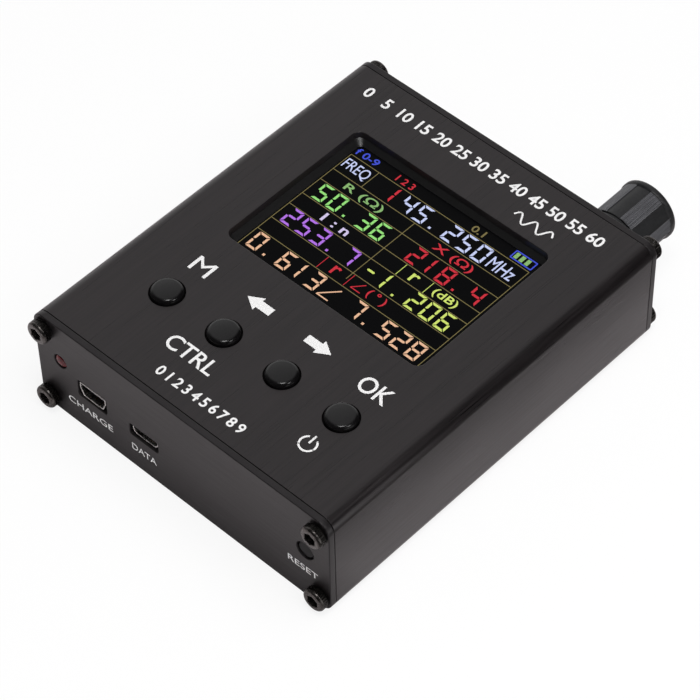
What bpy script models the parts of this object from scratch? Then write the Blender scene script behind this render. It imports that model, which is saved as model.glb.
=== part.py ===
import bpy
import bmesh
from math import cos, pi, radians, sin
from mathutils import Vector

# Hand-held antenna analyzer in an extruded aluminium case.
# X runs along the socket end, Y from the socket end to the antenna end, Z up.
# The origin is the middle of the case's underside. All lengths are metres.

# Case
case_width = 0.084
case_height = 0.028
case_length = 0.100
case_corner_radius = 0.003
wall = 0.0015
panel_thickness = 0.0016
fit_gap = 0.0003
cut_overrun = 0.001
edge_round = 0.0003

# Card guides and the boards that they carry
board_thickness = 0.0016
main_board_height = 0.0087
guide_depth = 0.0014
guide_thickness = 0.001
board_to_panel_gap = 0.0006
display_board_side_gap = 0.007
display_board_end_gap = 0.006

# Corner screws of the end panels
screw_from_side = 0.003
screw_from_edge = 0.0037
screw_head_radius = 0.00275
screw_head_height = 0.0021
screw_head_round = 0.0007
screw_shank_radius = 0.0014
screw_length = 0.008
screw_socket_width = 0.0025
screw_socket_depth = 0.0013
screw_channel_wall = 0.00105

# Display and its window
window_from_side = 0.01455
window_from_antenna_end = 0.017
window_from_socket_end = 0.0418
window_corner_radius = 0.002
display_side_border = 0.0027
display_end_border = 0.00085
display_depth = 0.0025
display_thickness = 0.0026
display_frame_wall = 0.0006
glass_thickness = 0.0011
tape_thickness = 0.0006
tape_inset = 0.006
gasket_thickness = 0.0004
gasket_inset = 0.0002
flex_width = 0.024
flex_thickness = 0.0002
flex_reach = 0.0022
flex_tail = 0.0011

# Four push buttons on the top
button_names = ("menu", "left", "right", "enter")
button_from_side = 0.01725
button_from_socket_end = 0.022
button_radius = 0.0036
button_rise = 0.0013
button_round = 0.0008
button_dome = 0.00025
button_flange_width = 0.0008
button_flange_thickness = 0.0008
button_travel = 0.0004
button_post_radius = 0.00175
button_post_seat = 0.0011
switch_width = 0.006
switch_floor = 0.0009

# Reset button on the socket end
reset_from_side = 0.0068
reset_above_middle = 0.0009
reset_radius = 0.00195
reset_hole_gap = 0.00035
reset_recess = 0.0004
reset_length = 0.0034
reset_travel = 0.0004
reset_switch_width = 0.0062
reset_switch_above = 0.003
reset_switch_depth = 0.004
reset_switch_pocket = 0.0015

# Charge lamp on the socket end
lamp_from_side = 0.007
lamp_from_top = 0.0112
lamp_radius = 0.0015
lamp_flange_width = 0.0004
lamp_flange_thickness = 0.001
lamp_proud = 0.0002
lamp_holder_width = 0.0044
lamp_holder_depth = 0.0036
lamp_holder_rise = 0.0021

# Sockets on the socket end
charge_socket_from_side = 0.0161
charge_socket_width = 0.0077
charge_socket_height = 0.0039
charge_socket_depth = 0.009
charge_socket_recess = 0.0002
data_socket_from_side = 0.0313
data_socket_width = 0.0075
data_socket_height = 0.00245
data_socket_depth = 0.0055
data_socket_recess = 0.0005
socket_wall = 0.00035
socket_cutout_gap = 0.0004
socket_cutout_round = 0.0003
socket_back = 0.0016
tongue_width_share = 0.62
tongue_thickness = 0.0006
tongue_from_mouth = 0.0009

# Antenna jack, its nut and washer
jack_from_side = 0.0161
jack_above_base = 0.0034
jack_thread_radius = 0.00555
jack_reach = 0.0143
jack_bore_radius = 0.00405
jack_bore_depth = 0.0093
jack_flange_radius = 0.007
jack_flange_thickness = 0.002
jack_rear_bore_radius = 0.0037
jack_chamfer = 0.0004
nut_width = 0.014
nut_thickness = 0.0022
washer_width = 0.0018
washer_thickness = 0.0006
insulator_radius = 0.00237
insulator_below_tip = 0.005
contact_radius = 0.00105
contact_tail = 0.0012
contact_socket_radius = 0.00068
contact_socket_depth = 0.004
coax_radius = 0.0011
coax_drop_length = 0.0048

# Screw-on dust cap
thread_pitch = 0.0009071
cap_turns = 12
cap_rim_radius = 0.0076
cap_rim_length = 0.0018
cap_rim_round = 0.0009
cap_grip_radius = 0.00725
cap_grip_length = 0.0102
cap_skirt_radius = 0.00705
cap_skirt_length = 0.002
cap_groove_width = 0.0004
cap_groove_depth = 0.0004
cap_land_count = 6
cap_land_rise = 0.0003
cap_land_edge = 0.0001
cap_land_start_share = 0.64
seal_thickness = 0.001
seal_side_gap = 0.00035

# Boards' carriers and their screws
standoff_from_side = 0.009
standoff_from_end = 0.012
standoff_width = 0.005
board_screw_radius = 0.0012
board_screw_head_radius = 0.0022
board_screw_head_height = 0.0013
board_screw_slope_share = 0.7
board_screw_reach = 0.0035

# Board-to-board plug
header_from_side = 0.028
header_from_antenna_end = 0.011
header_pin_count = 8
header_pin_pitch = 0.00254
header_pin_width = 0.00064
header_body_width = 0.005
header_plug_height = 0.0025
header_gap = 0.0009
header_slot_width = 0.0014
header_floor_share = 0.35

# Parts on the main board
shield_from_side = 0.026
shield_from_antenna_end = 0.030
shield_width = 0.030
shield_length = 0.024
shield_height = 0.003
shield_wall = 0.0004
processor_from_side = 0.030
processor_from_socket_end = 0.042
processor_width = 0.012
processor_height = 0.0014

# Battery under the main board
battery_from_side = 0.029
battery_from_socket_end = 0.027
battery_width = 0.034
battery_length = 0.050
battery_thickness = 0.005
battery_round = 0.0016
battery_pad_thickness = 0.0005
battery_pad_inset = 0.003
battery_lead_from_end = 0.013
battery_socket_gap = 0.004
battery_socket_width = 0.0079
battery_socket_depth = 0.006
battery_socket_height = 0.0045
battery_socket_wall = 0.0007
battery_plug_depth = 0.0045
battery_lead_radius = 0.0009

# Fineness of curves
arc_steps = 4
fine_steps = 32
round_steps = 24
screw_steps = 20
small_steps = 16
cap_steps = 48

# Levels and ends that several parts share
antenna_face = case_length / 2
socket_face = -case_length / 2
tube_length = case_length - 2 * (panel_thickness + fit_gap)
panel_middle = case_length / 2 - panel_thickness / 2
panel_inside = case_length / 2 - panel_thickness
ceiling = case_height - wall
main_board_top = main_board_height + board_thickness
main_board_front = -panel_inside + board_to_panel_gap
jack_flange_front = panel_inside - fit_gap
jack_flange_back = jack_flange_front - jack_flange_thickness
main_board_back = jack_flange_back - board_to_panel_gap
part_base = main_board_top + fit_gap
display_top = case_height - display_depth
display_bottom = display_top - display_thickness
display_board_top = display_bottom - tape_thickness - 2 * fit_gap
display_board_bottom = display_board_top - board_thickness
window_width = case_width - 2 * window_from_side
window_length = case_length - window_from_antenna_end - window_from_socket_end
display_width = window_width + 2 * display_side_border
display_length = window_length + 2 * display_end_border
display_y = antenna_face - window_from_antenna_end - window_length / 2
button_y = socket_face + button_from_socket_end
flange_top = ceiling - fit_gap
flange_bottom = flange_top - button_flange_thickness
switch_top = flange_bottom - button_travel - fit_gap
jack_x = case_width / 2 - jack_from_side
jack_z = part_base + jack_above_base
jack_tip = antenna_face + jack_reach
washer_start = antenna_face + fit_gap
nut_start = washer_start + washer_thickness + fit_gap
cap_start = nut_start + nut_thickness + fit_gap
cap_travel = cap_turns * thread_pitch
seal_start = jack_tip + fit_gap
cap_bore_radius = jack_thread_radius + fit_gap
cap_bore_end = seal_start + seal_thickness + fit_gap
standoff_x = case_width / 2 - standoff_from_side
standoff_y = case_length / 2 - standoff_from_end
charge_socket_x = charge_socket_from_side - case_width / 2
data_socket_x = data_socket_from_side - case_width / 2
header_x = header_from_side - case_width / 2
header_y = antenna_face - header_from_antenna_end
shield_x = case_width / 2 - shield_from_side
shield_y = antenna_face - shield_from_antenna_end
processor_x = processor_from_side - case_width / 2
processor_y = socket_face + processor_from_socket_end
battery_x = battery_from_side + battery_width / 2 - case_width / 2
battery_y = socket_face + battery_from_socket_end + battery_length / 2
battery_lead_y = socket_face + battery_from_socket_end + battery_lead_from_end
lamp_height = case_height - lamp_from_top
reset_height = case_height / 2 + reset_above_middle
screw_spacing_x = case_width - 2 * screw_from_side
screw_spacing_z = case_height - 2 * screw_from_edge
screw_bore_radius = screw_shank_radius + fit_gap

# Finishes: colour, roughness and metallic
black_anodised = ((0.038, 0.036, 0.037), 0.42, 0.7)
black_oxide_steel = ((0.03, 0.03, 0.031), 0.38, 0.8)
black_plastic = ((0.018, 0.018, 0.019), 0.45, 0.0)
black_foam = ((0.01, 0.01, 0.01), 0.95, 0.0)
dark_glass = ((0.006, 0.006, 0.008), 0.08, 0.0)
white_plastic = ((0.75, 0.74, 0.7), 0.5, 0.0)
steel = ((0.62, 0.61, 0.59), 0.3, 1.0)
nickel = ((0.66, 0.64, 0.58), 0.22, 1.0)
gold = ((0.83, 0.6, 0.25), 0.25, 1.0)
copper = ((0.72, 0.38, 0.22), 0.3, 1.0)
green_board = ((0.02, 0.12, 0.05), 0.4, 0.0)
red_epoxy = ((0.35, 0.01, 0.015), 0.15, 0.0)
black_rubber = ((0.015, 0.015, 0.015), 0.85, 0.0)
amber_film = ((0.5, 0.22, 0.04), 0.3, 0.0)
silver_foil = ((0.6, 0.6, 0.61), 0.35, 0.9)
white_fluoropolymer = ((0.85, 0.85, 0.83), 0.4, 0.0)

for old in list(bpy.data.objects):
    bpy.data.objects.remove(old, do_unlink=True)
model = bpy.data.collections.new("antenna_analyzer")
cutters = bpy.data.collections.new("cutters")
bpy.context.scene.collection.children.link(model)
bpy.context.scene.collection.children.link(cutters)


def add_part(name, shape, look, location=(0, 0, 0), turn=(0, 0, 0)):
    """Put a mesh or curve in the model with its own material."""
    part = bpy.data.objects.new(name, shape)
    model.objects.link(part)
    part.location = location
    part.rotation_euler = turn
    colour, roughness, metallic = look
    material = bpy.data.materials.new(name + "_finish")
    material.use_nodes = True
    shader = material.node_tree.nodes["Principled BSDF"]
    shader.inputs["Base Color"].default_value = (*colour, 1)
    shader.inputs["Roughness"].default_value = roughness
    shader.inputs["Metallic"].default_value = metallic
    material.diffuse_color = (*colour, 1)
    shape.materials.append(material)
    return part


def add_cutter(name, mesh, location=(0, 0, 0), turn=(0, 0, 0)):
    """Put a mesh in the cutters' collection, out of the render."""
    cutter = bpy.data.objects.new(name, mesh)
    cutters.objects.link(cutter)
    cutter.location = location
    cutter.rotation_euler = turn
    cutter.hide_render = True
    cutter.display_type = "WIRE"
    return cutter


def corner_signs():
    """The four corners of a rectangle, as a sign along each of its sides."""
    return [(-1, -1), (1, -1), (-1, 1), (1, 1)]


def combine(part, tool, operation):
    """Cut the tool out of a part, or join it on."""
    change = part.modifiers.new(tool.name, "BOOLEAN")
    change.operation = operation
    change.solver = "EXACT"
    change.object = tool


def soften(part, width, segments=2):
    """Round a part's sharp edges."""
    bevel = part.modifiers.new("soften", "BEVEL")
    bevel.width = width
    bevel.segments = segments
    bevel.limit_method = "ANGLE"
    bevel.angle_limit = radians(40)


def block(name, width, length, height):
    """A box mesh about its own middle."""
    mesh = bpy.data.meshes.new(name)
    shape = bmesh.new()
    bmesh.ops.create_cube(shape, size=1)
    bmesh.ops.scale(shape, vec=(width, length, height), verts=shape.verts)
    shape.to_mesh(mesh)
    shape.free()
    return mesh


def rod(name, radius, length, steps):
    """A cylinder mesh along Z about its own middle."""
    mesh = bpy.data.meshes.new(name)
    shape = bmesh.new()
    bmesh.ops.create_cone(shape, cap_ends=True, segments=steps, radius1=radius, radius2=radius, depth=length)
    shape.to_mesh(mesh)
    shape.free()
    mesh.shade_smooth()
    mesh.set_sharp_from_angle(angle=radians(40))
    return mesh


def profile_mesh(name, profile, closed):
    """Points of a turned profile, each a radius and a height, joined by edges."""
    mesh = bpy.data.meshes.new(name)
    edges = [(i, i + 1) for i in range(len(profile) - 1)]
    if closed:
        edges.append((len(profile) - 1, 0))
    mesh.from_pydata([(radius, 0, height) for radius, height in profile], edges, [])
    return mesh


def quarter_round(radius, top, size):
    """Points of a rounded edge on a turned profile, from its top out to its side."""
    points = []
    for i in range(arc_steps):
        angle = i / (arc_steps - 1) * pi / 2
        points.append((radius - size * (1 - sin(angle)), top - size * (1 - cos(angle))))
    return points


def turn_profile(part, steps):
    """Turn a profile right round its own Z axis."""
    screw = part.modifiers.new("turn", "SCREW")
    screw.steps = steps
    screw.render_steps = steps
    screw.use_merge_vertices = True
    screw.merge_threshold = 0.00001
    screw.use_smooth_shade = True


def ring_points(radius, steps, centre=(0, 0)):
    """Points round a circle."""
    return [(centre[0] + radius * cos(2 * pi * i / steps), centre[1] + radius * sin(2 * pi * i / steps))
            for i in range(steps)]


def rounded_rectangle(width, height, radius, centre=(0, 0)):
    """Points round a rectangle with arcs at its corners."""
    points = []
    for corner, (sx, sy) in enumerate(((1, 1), (-1, 1), (-1, -1), (1, -1))):
        cx = centre[0] + sx * (width / 2 - radius)
        cy = centre[1] + sy * (height / 2 - radius)
        for i in range(arc_steps + 1):
            angle = (corner + i / arc_steps) * pi / 2
            points.append((cx + radius * cos(angle), cy + radius * sin(angle)))
    return points


def outline_mesh(name, loops, thickness):
    """A flat outline with its holes, as a filled 2D curve made into a welded mesh."""
    curve = bpy.data.curves.new(name, "CURVE")
    curve.dimensions = "2D"
    curve.fill_mode = "BOTH"
    curve.extrude = thickness / 2
    for loop in loops:
        spline = curve.splines.new("POLY")
        spline.points.add(len(loop) - 1)
        for point, (x, y) in zip(spline.points, loop):
            point.co = (x, y, 0, 1)
        spline.use_cyclic_u = True
    guide = bpy.data.objects.new(name, curve)
    model.objects.link(guide)
    graph = bpy.context.evaluated_depsgraph_get()
    mesh = bpy.data.meshes.new_from_object(guide.evaluated_get(graph))
    bpy.data.objects.remove(guide)
    bpy.data.curves.remove(curve)
    shape = bmesh.new()
    shape.from_mesh(mesh)
    bmesh.ops.remove_doubles(shape, verts=shape.verts, dist=0.000001)
    bmesh.ops.recalc_face_normals(shape, faces=shape.faces)
    shape.to_mesh(mesh)
    shape.free()
    mesh.shade_flat()
    return mesh


def tube_curve(name, route, radius):
    """A round bar along a list of points, with filled ends."""
    curve = bpy.data.curves.new(name, "CURVE")
    curve.dimensions = "3D"
    curve.bevel_depth = radius
    curve.bevel_resolution = 2
    curve.use_fill_caps = True
    spline = curve.splines.new("POLY")
    spline.points.add(len(route) - 1)
    for point, place in zip(spline.points, route):
        point.co = (*place, 1)
    return curve


def bent_route(start, corner, end, radius, steps=4):
    """Points of a straight run that bends once, round an arc, into another."""
    start, corner, end = Vector(start), Vector(corner), Vector(end)
    back = (start - corner).normalized() * radius
    ahead = (end - corner).normalized() * radius
    points = [start]
    for i in range(steps + 1):
        angle = i / steps * pi / 2
        points.append(corner + back * (1 - sin(angle)) + ahead * (1 - cos(angle)))
    points.append(end)
    return points


facing_socket_end = (radians(90), 0, 0)
facing_antenna_end = (radians(-90), 0, 0)


# Case


def guide_slots():
    """Top and bottom of each slot between card guides: the main board's, and its mirror image."""
    low = main_board_height - fit_gap
    high = main_board_top + fit_gap
    return [(high, low), (case_height - low, case_height - high)]


def tube_inside():
    """The case's inner outline, with a pair of card guides beside each slot."""
    side = case_width / 2 - wall
    lip = side - guide_depth
    right = [(side, ceiling)]
    for high, low in sorted(guide_slots(), reverse=True):
        right += [(side, high + guide_thickness), (lip, high + guide_thickness), (lip, high), (side, high)]
        right += [(side, low), (lip, low), (lip, low - guide_thickness), (side, low - guide_thickness)]
    right.append((side, wall))
    left = [(-x, z) for x, z in reversed(right)]
    return [(x, z - case_height / 2) for x, z in right + left]


def make_housing():
    """One-piece extruded tube with corner screw channels, card guides, window and button holes."""
    outside = rounded_rectangle(case_width, case_height, case_corner_radius)
    tube = outline_mesh("housing", [outside, tube_inside()], tube_length)
    housing = add_part("housing", tube, black_anodised, (0, 0, case_height / 2), facing_socket_end)
    channel_radius = screw_bore_radius + screw_channel_wall
    for sx, sz in corner_signs():
        place = (sx * screw_spacing_x / 2, 0, case_height / 2 + sz * screw_spacing_z / 2)
        channel = rod("screw_channel", channel_radius, tube_length, small_steps)
        combine(housing, add_cutter("screw_channel", channel, place, facing_socket_end), "UNION")
        bore = rod("screw_bore", screw_bore_radius, tube_length + 2 * cut_overrun, small_steps)
        combine(housing, add_cutter("screw_bore", bore, place, facing_socket_end), "DIFFERENCE")
    opening = rounded_rectangle(window_width, window_length, window_corner_radius)
    window = outline_mesh("window_cut", [opening], wall + 2 * cut_overrun)
    roof_middle = case_height - wall / 2
    combine(housing, add_cutter("window_cut", window, (0, display_y, roof_middle)), "DIFFERENCE")
    for x in button_places():
        hole = rod("button_hole", button_radius + fit_gap, wall + 2 * cut_overrun, round_steps)
        combine(housing, add_cutter("button_hole", hole, (x, button_y, roof_middle)), "DIFFERENCE")


def panel_outline():
    """An end panel's edge and its four screw holes, about its middle."""
    loops = [rounded_rectangle(case_width, case_height, case_corner_radius)]
    for sx, sz in corner_signs():
        centre = (sx * screw_spacing_x / 2, sz * screw_spacing_z / 2)
        loops.append(ring_points(screw_bore_radius, small_steps, centre))
    return loops


def make_front_panel():
    """Socket end: cut-outs for two sockets, the charge lamp and the reset button."""
    middle = case_height / 2
    loops = panel_outline()
    for x, width, height in ((charge_socket_x, charge_socket_width, charge_socket_height),
                             (data_socket_x, data_socket_width, data_socket_height)):
        centre = (x, part_base + height / 2 - middle)
        size = (width + 2 * socket_cutout_gap, height + 2 * socket_cutout_gap)
        loops.append(rounded_rectangle(*size, socket_cutout_round, centre))
    lamp_centre = (lamp_from_side - case_width / 2, lamp_height - middle)
    loops.append(ring_points(lamp_radius + fit_gap, round_steps, lamp_centre))
    reset_centre = (case_width / 2 - reset_from_side, reset_height - middle)
    loops.append(ring_points(reset_radius + reset_hole_gap, round_steps, reset_centre))
    plate = outline_mesh("front_panel", loops, panel_thickness)
    add_part("front_panel", plate, black_anodised, (0, -panel_middle, middle), facing_socket_end)


def make_rear_panel():
    """Antenna end: one hole for the jack."""
    middle = case_height / 2
    loops = panel_outline()
    loops.append(ring_points(jack_thread_radius + fit_gap, fine_steps, (jack_x, jack_z - middle)))
    plate = outline_mesh("rear_panel", loops, panel_thickness)
    add_part("rear_panel", plate, black_anodised, (0, panel_middle, middle), facing_socket_end)


def make_panel_screws(name, face, turn):
    """Four socket-head screws at an end panel's corners."""
    top = screw_head_height
    profile = [(0, top)] + quarter_round(screw_head_radius, top, screw_head_round)
    profile += [(screw_head_radius, 0), (screw_shank_radius, 0), (screw_shank_radius, -screw_length),
                (0, -screw_length)]
    outward = 1 if face > 0 else -1
    socket_radius = screw_socket_width / 2 / cos(pi / 6)
    socket_middle = outward * (screw_head_height - screw_socket_depth / 2 + cut_overrun / 2)
    seat = face + outward * fit_gap
    for number, (sx, sz) in enumerate(corner_signs(), 1):
        x = sx * screw_spacing_x / 2
        z = case_height / 2 + sz * screw_spacing_z / 2
        title = f"{name}_{number}"
        screw = add_part(title, profile_mesh(title, profile, False), black_oxide_steel, (x, seat, z), turn)
        turn_profile(screw, screw_steps)
        socket = rod(title + "_socket", socket_radius, screw_socket_depth + cut_overrun, 6)
        cutter = add_cutter(title + "_socket", socket, (x, seat + socket_middle, z), turn)
        combine(screw, cutter, "DIFFERENCE")


# Display


def make_display():
    """Glass in its frame, taped to the board, with a foam ring against the window."""
    frame_middle = (0, display_y, display_top - display_thickness / 2)
    frame_outline = rounded_rectangle(display_width, display_length, display_frame_wall)
    tray = outline_mesh("display_frame", [frame_outline], display_thickness)
    frame = add_part("display_frame", tray, black_plastic, frame_middle)
    pocket_width = display_width - 2 * display_frame_wall
    pocket_length = display_length - 2 * display_frame_wall
    pocket_depth = glass_thickness + fit_gap
    pocket = block("display_pocket", pocket_width, pocket_length, pocket_depth + cut_overrun)
    pocket_middle = display_top - pocket_depth / 2 + cut_overrun / 2
    combine(frame, add_cutter("display_pocket", pocket, (0, display_y, pocket_middle)), "DIFFERENCE")

    glass = block("display_glass", pocket_width - 2 * fit_gap, pocket_length - 2 * fit_gap, glass_thickness)
    add_part("display_glass", glass, dark_glass, (0, display_y, display_top - glass_thickness / 2))

    tape_size = (display_width - 2 * tape_inset, display_length - 2 * tape_inset, tape_thickness)
    tape_middle = (0, display_y, display_board_top + fit_gap + tape_thickness / 2)
    add_part("display_tape", block("display_tape", *tape_size), black_foam, tape_middle)

    ring_middle = (display_top + ceiling) / 2
    inner = rounded_rectangle(window_width + 2 * gasket_inset, window_length + 2 * gasket_inset, window_corner_radius)
    outer = rounded_rectangle(display_width, display_length, window_corner_radius)
    ring = outline_mesh("window_gasket", [outer, inner], gasket_thickness)
    add_part("window_gasket", ring, black_foam, (0, display_y, ring_middle))


def strip_outline(route, thickness):
    """Points round a thin strip that follows a flat route."""
    left, right = [], []
    for i, point in enumerate(route):
        ahead = Vector(route[min(i + 1, len(route) - 1)]) - Vector(route[max(i - 1, 0)])
        side = Vector((-ahead.y, ahead.x)).normalized() * thickness / 2
        left.append(tuple(Vector(point) + side))
        right.append(tuple(Vector(point) - side))
    return left + right[::-1]


def make_display_flex():
    """Film that leads from the display's side down to the board."""
    start_x = -(display_width / 2 + fit_gap)
    high = display_bottom + display_thickness / 3
    low = display_board_top + fit_gap + flex_thickness / 2
    bend = (high - low) / 2
    route = [(start_x, high)]
    for i in range(2 * arc_steps + 1):
        angle = pi / 2 + i / (2 * arc_steps) * pi
        route.append((start_x - flex_reach + bend + bend * cos(angle), (high + low) / 2 + bend * sin(angle)))
    route.append((start_x - flex_reach + bend + flex_tail, low))
    film = outline_mesh("display_flex", [strip_outline(route, flex_thickness)], flex_width)
    add_part("display_flex", film, amber_film, (0, display_y, 0), facing_socket_end)


# Buttons


def button_places():
    """The buttons' places along X, left to right."""
    reach = case_width / 2 - button_from_side
    return [reach * (2 * i / (len(button_names) - 1) - 1) for i in range(len(button_names))]


def button_profile():
    """Half section of a button: domed top, rounded shoulder, flange under the case wall, post."""
    top = case_height + button_rise
    shoulder = button_radius - button_round
    points = [(0, top), (shoulder / 2, top - button_dome / 4)]
    points += quarter_round(button_radius, top - button_dome, button_round)
    flange = button_radius + button_flange_width
    post_bottom = switch_top - button_post_seat
    points += [(button_radius, flange_top), (flange, flange_top), (flange, flange_bottom)]
    points += [(button_post_radius, flange_bottom), (button_post_radius, post_bottom), (0, post_bottom)]
    return [(radius, height - case_height) for radius, height in points]


def make_buttons():
    """Four buttons, each over its own square switch on the display board."""
    bottom = display_board_top + fit_gap
    height = switch_top - bottom
    well_depth = height - switch_floor
    well_middle = switch_top - well_depth / 2 + cut_overrun / 2
    for name, x in zip(button_names, button_places()):
        mesh = profile_mesh(name + "_button", button_profile(), False)
        button = add_part(name + "_button", mesh, black_plastic, (x, button_y, case_height))
        turn_profile(button, round_steps)
        body = block(name + "_switch", switch_width, switch_width, height)
        switch = add_part(name + "_switch", body, black_plastic, (x, button_y, bottom + height / 2))
        well = rod(name + "_well", button_post_radius + fit_gap, well_depth + cut_overrun, small_steps)
        combine(switch, add_cutter(name + "_well", well, (x, button_y, well_middle)), "DIFFERENCE")


def make_reset():
    """Recessed round button on the socket end, pushing a switch on the main board."""
    x = case_width / 2 - reset_from_side
    front = socket_face + reset_recess
    pin = rod("reset_button", reset_radius, reset_length, round_steps)
    button = add_part("reset_button", pin, black_plastic, (x, front + reset_length / 2, reset_height),
                      facing_socket_end)
    soften(button, edge_round, 1)
    pocket_floor = front + reset_length + reset_travel + fit_gap
    body_front = pocket_floor - reset_switch_pocket
    body_height = reset_height + reset_switch_above - part_base
    body_middle = (x, body_front + reset_switch_depth / 2, part_base + body_height / 2)
    body = block("reset_switch", reset_switch_width, reset_switch_depth, body_height)
    switch = add_part("reset_switch", body, black_plastic, body_middle)
    pocket = rod("reset_pocket", reset_radius + fit_gap, reset_switch_pocket + cut_overrun, round_steps)
    pocket_middle = (x, pocket_floor - (reset_switch_pocket + cut_overrun) / 2, reset_height)
    combine(switch, add_cutter("reset_pocket", pocket, pocket_middle, facing_socket_end), "DIFFERENCE")


# Lamp and sockets


def make_charge_lamp():
    """Round lamp with a dome and a flange behind the panel, held up by a block on the board."""
    x = lamp_from_side - case_width / 2
    tip = panel_thickness + lamp_proud
    flange_front = -fit_gap
    flange_back = flange_front - lamp_flange_thickness
    points = []
    for i in range(arc_steps + 1):
        angle = i / arc_steps * pi / 2
        points.append((lamp_radius * sin(angle), tip - lamp_radius * (1 - cos(angle))))
    flange = lamp_radius + lamp_flange_width
    points += [(lamp_radius, flange_front), (flange, flange_front), (flange, flange_back), (0, flange_back)]
    place = (x, -panel_inside, lamp_height)
    lamp = add_part("charge_lamp", profile_mesh("charge_lamp", points, False), red_epoxy, place, facing_socket_end)
    turn_profile(lamp, small_steps)
    front = -panel_inside - flange_back + fit_gap
    top = lamp_height + lamp_holder_rise
    holder = block("lamp_holder", lamp_holder_width, lamp_holder_depth, top - part_base)
    holder_middle = (x, front + lamp_holder_depth / 2, (top + part_base) / 2)
    add_part("lamp_holder", holder, black_plastic, holder_middle)


def shell_outline(width, height, shares, inset):
    """A socket shell's outline, wide above and narrow below, drawn in by an inset."""
    half = width / 2 - inset
    low = -height / 2 + inset
    high = height / 2 - inset
    right = [(half, high)]
    for x_share, z_share in shares:
        right.append((half * x_share, low + (high - low) * z_share))
    return right + [(-x, z) for x, z in reversed(right)]


def make_socket(name, x, width, height, depth, recess, shares):
    """Formed metal shell on the main board, with a plastic tongue inside."""
    loops = [shell_outline(width, height, shares, 0), shell_outline(width, height, shares, socket_wall)]
    z = part_base + height / 2
    front = socket_face + recess
    shell = outline_mesh(name + "_shell", loops, depth)
    add_part(name + "_shell", shell, steel, (x, front + depth / 2, z), facing_socket_end)
    inset = socket_wall + fit_gap
    back = outline_mesh(name + "_tongue", [shell_outline(width, height, shares, inset)], socket_back)
    back_middle = front + depth - socket_back / 2
    tongue = add_part(name + "_tongue", back, black_plastic, (x, back_middle, z), facing_socket_end)
    reach = depth - socket_back - tongue_from_mouth
    blade = block(name + "_blade", width * tongue_width_share, reach + cut_overrun, tongue_thickness)
    blade_middle = front + tongue_from_mouth + (reach + cut_overrun) / 2
    combine(tongue, add_cutter(name + "_blade", blade, (x, blade_middle, z)), "UNION")


charge_shell_shares = ((1, 0.52), (0.92, 0.42), (0.78, 0))
data_shell_shares = ((1, 0.45), (0.8, 0))


# Antenna jack and dust cap


def make_jack():
    """Threaded coaxial jack held in the rear panel by a washer and a nut."""
    flange_back = jack_flange_back - antenna_face
    flange_front = jack_flange_front - antenna_face
    bore_end = jack_reach - jack_bore_depth
    step = jack_chamfer
    profile = [(jack_bore_radius, jack_reach), (jack_thread_radius - step, jack_reach),
               (jack_thread_radius, jack_reach - step), (jack_thread_radius, flange_front),
               (jack_flange_radius, flange_front), (jack_flange_radius, flange_back),
               (jack_rear_bore_radius, flange_back), (jack_rear_bore_radius, bore_end - step),
               (insulator_radius + fit_gap, bore_end - step), (insulator_radius + fit_gap, bore_end),
               (jack_bore_radius, bore_end)]
    place = (jack_x, antenna_face, jack_z)
    jack = add_part("antenna_jack", profile_mesh("antenna_jack", profile, True), nickel, place, facing_antenna_end)
    turn_profile(jack, fine_steps)

    shoulder = bore_end - step - fit_gap
    front = jack_reach - insulator_below_tip
    back = flange_back + fit_gap
    hole = contact_radius + fit_gap
    profile = [(hole, front), (insulator_radius, front), (insulator_radius, shoulder),
               (jack_rear_bore_radius - fit_gap, shoulder), (jack_rear_bore_radius - fit_gap, back), (hole, back)]
    mesh = profile_mesh("jack_insulator", profile, True)
    turn_profile(add_part("jack_insulator", mesh, white_fluoropolymer, place, facing_antenna_end), round_steps)

    tail = flange_back - contact_tail
    socket_floor = front - contact_socket_depth
    profile = [(0, socket_floor), (contact_socket_radius, socket_floor), (contact_socket_radius, front),
               (contact_radius, front), (contact_radius, tail), (0, tail)]
    mesh = profile_mesh("jack_contact", profile, False)
    turn_profile(add_part("jack_contact", mesh, gold, place, facing_antenna_end), small_steps)


def make_jack_hardware():
    """Flat washer and hexagon nut on the jack's thread, outside the rear panel."""
    bore = ring_points(jack_thread_radius + fit_gap, fine_steps)
    rim = ring_points(jack_thread_radius + fit_gap + washer_width, fine_steps)
    washer = outline_mesh("jack_washer", [rim, bore], washer_thickness)
    washer_middle = washer_start + washer_thickness / 2
    add_part("jack_washer", washer, nickel, (jack_x, washer_middle, jack_z), facing_antenna_end)
    corners = ring_points(nut_width / 2 / cos(pi / 6), 6)
    nut = outline_mesh("jack_nut", [corners, bore], nut_thickness)
    add_part("jack_nut", nut, nickel, (jack_x, nut_start + nut_thickness / 2, jack_z), facing_antenna_end)


def make_coax_link():
    """Short rigid coaxial lead from the jack's contact down to the main board."""
    start_y = jack_flange_back - contact_tail - fit_gap
    end_y = start_y - coax_drop_length
    corner = (jack_x, end_y, jack_z)
    foot = (jack_x, end_y, part_base)
    route = bent_route((jack_x, start_y, jack_z), corner, foot, 2 * coax_radius)
    add_part("coax_link", tube_curve("coax_link", route, coax_radius), copper)


def cap_levels():
    """Heights along the cap's axis of its mouth, grip, rim and end."""
    mouth = cap_start - antenna_face
    grip = mouth + cap_skirt_length + cap_groove_width
    rim = grip + cap_grip_length
    return mouth, grip, rim, rim + cap_rim_length


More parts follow.
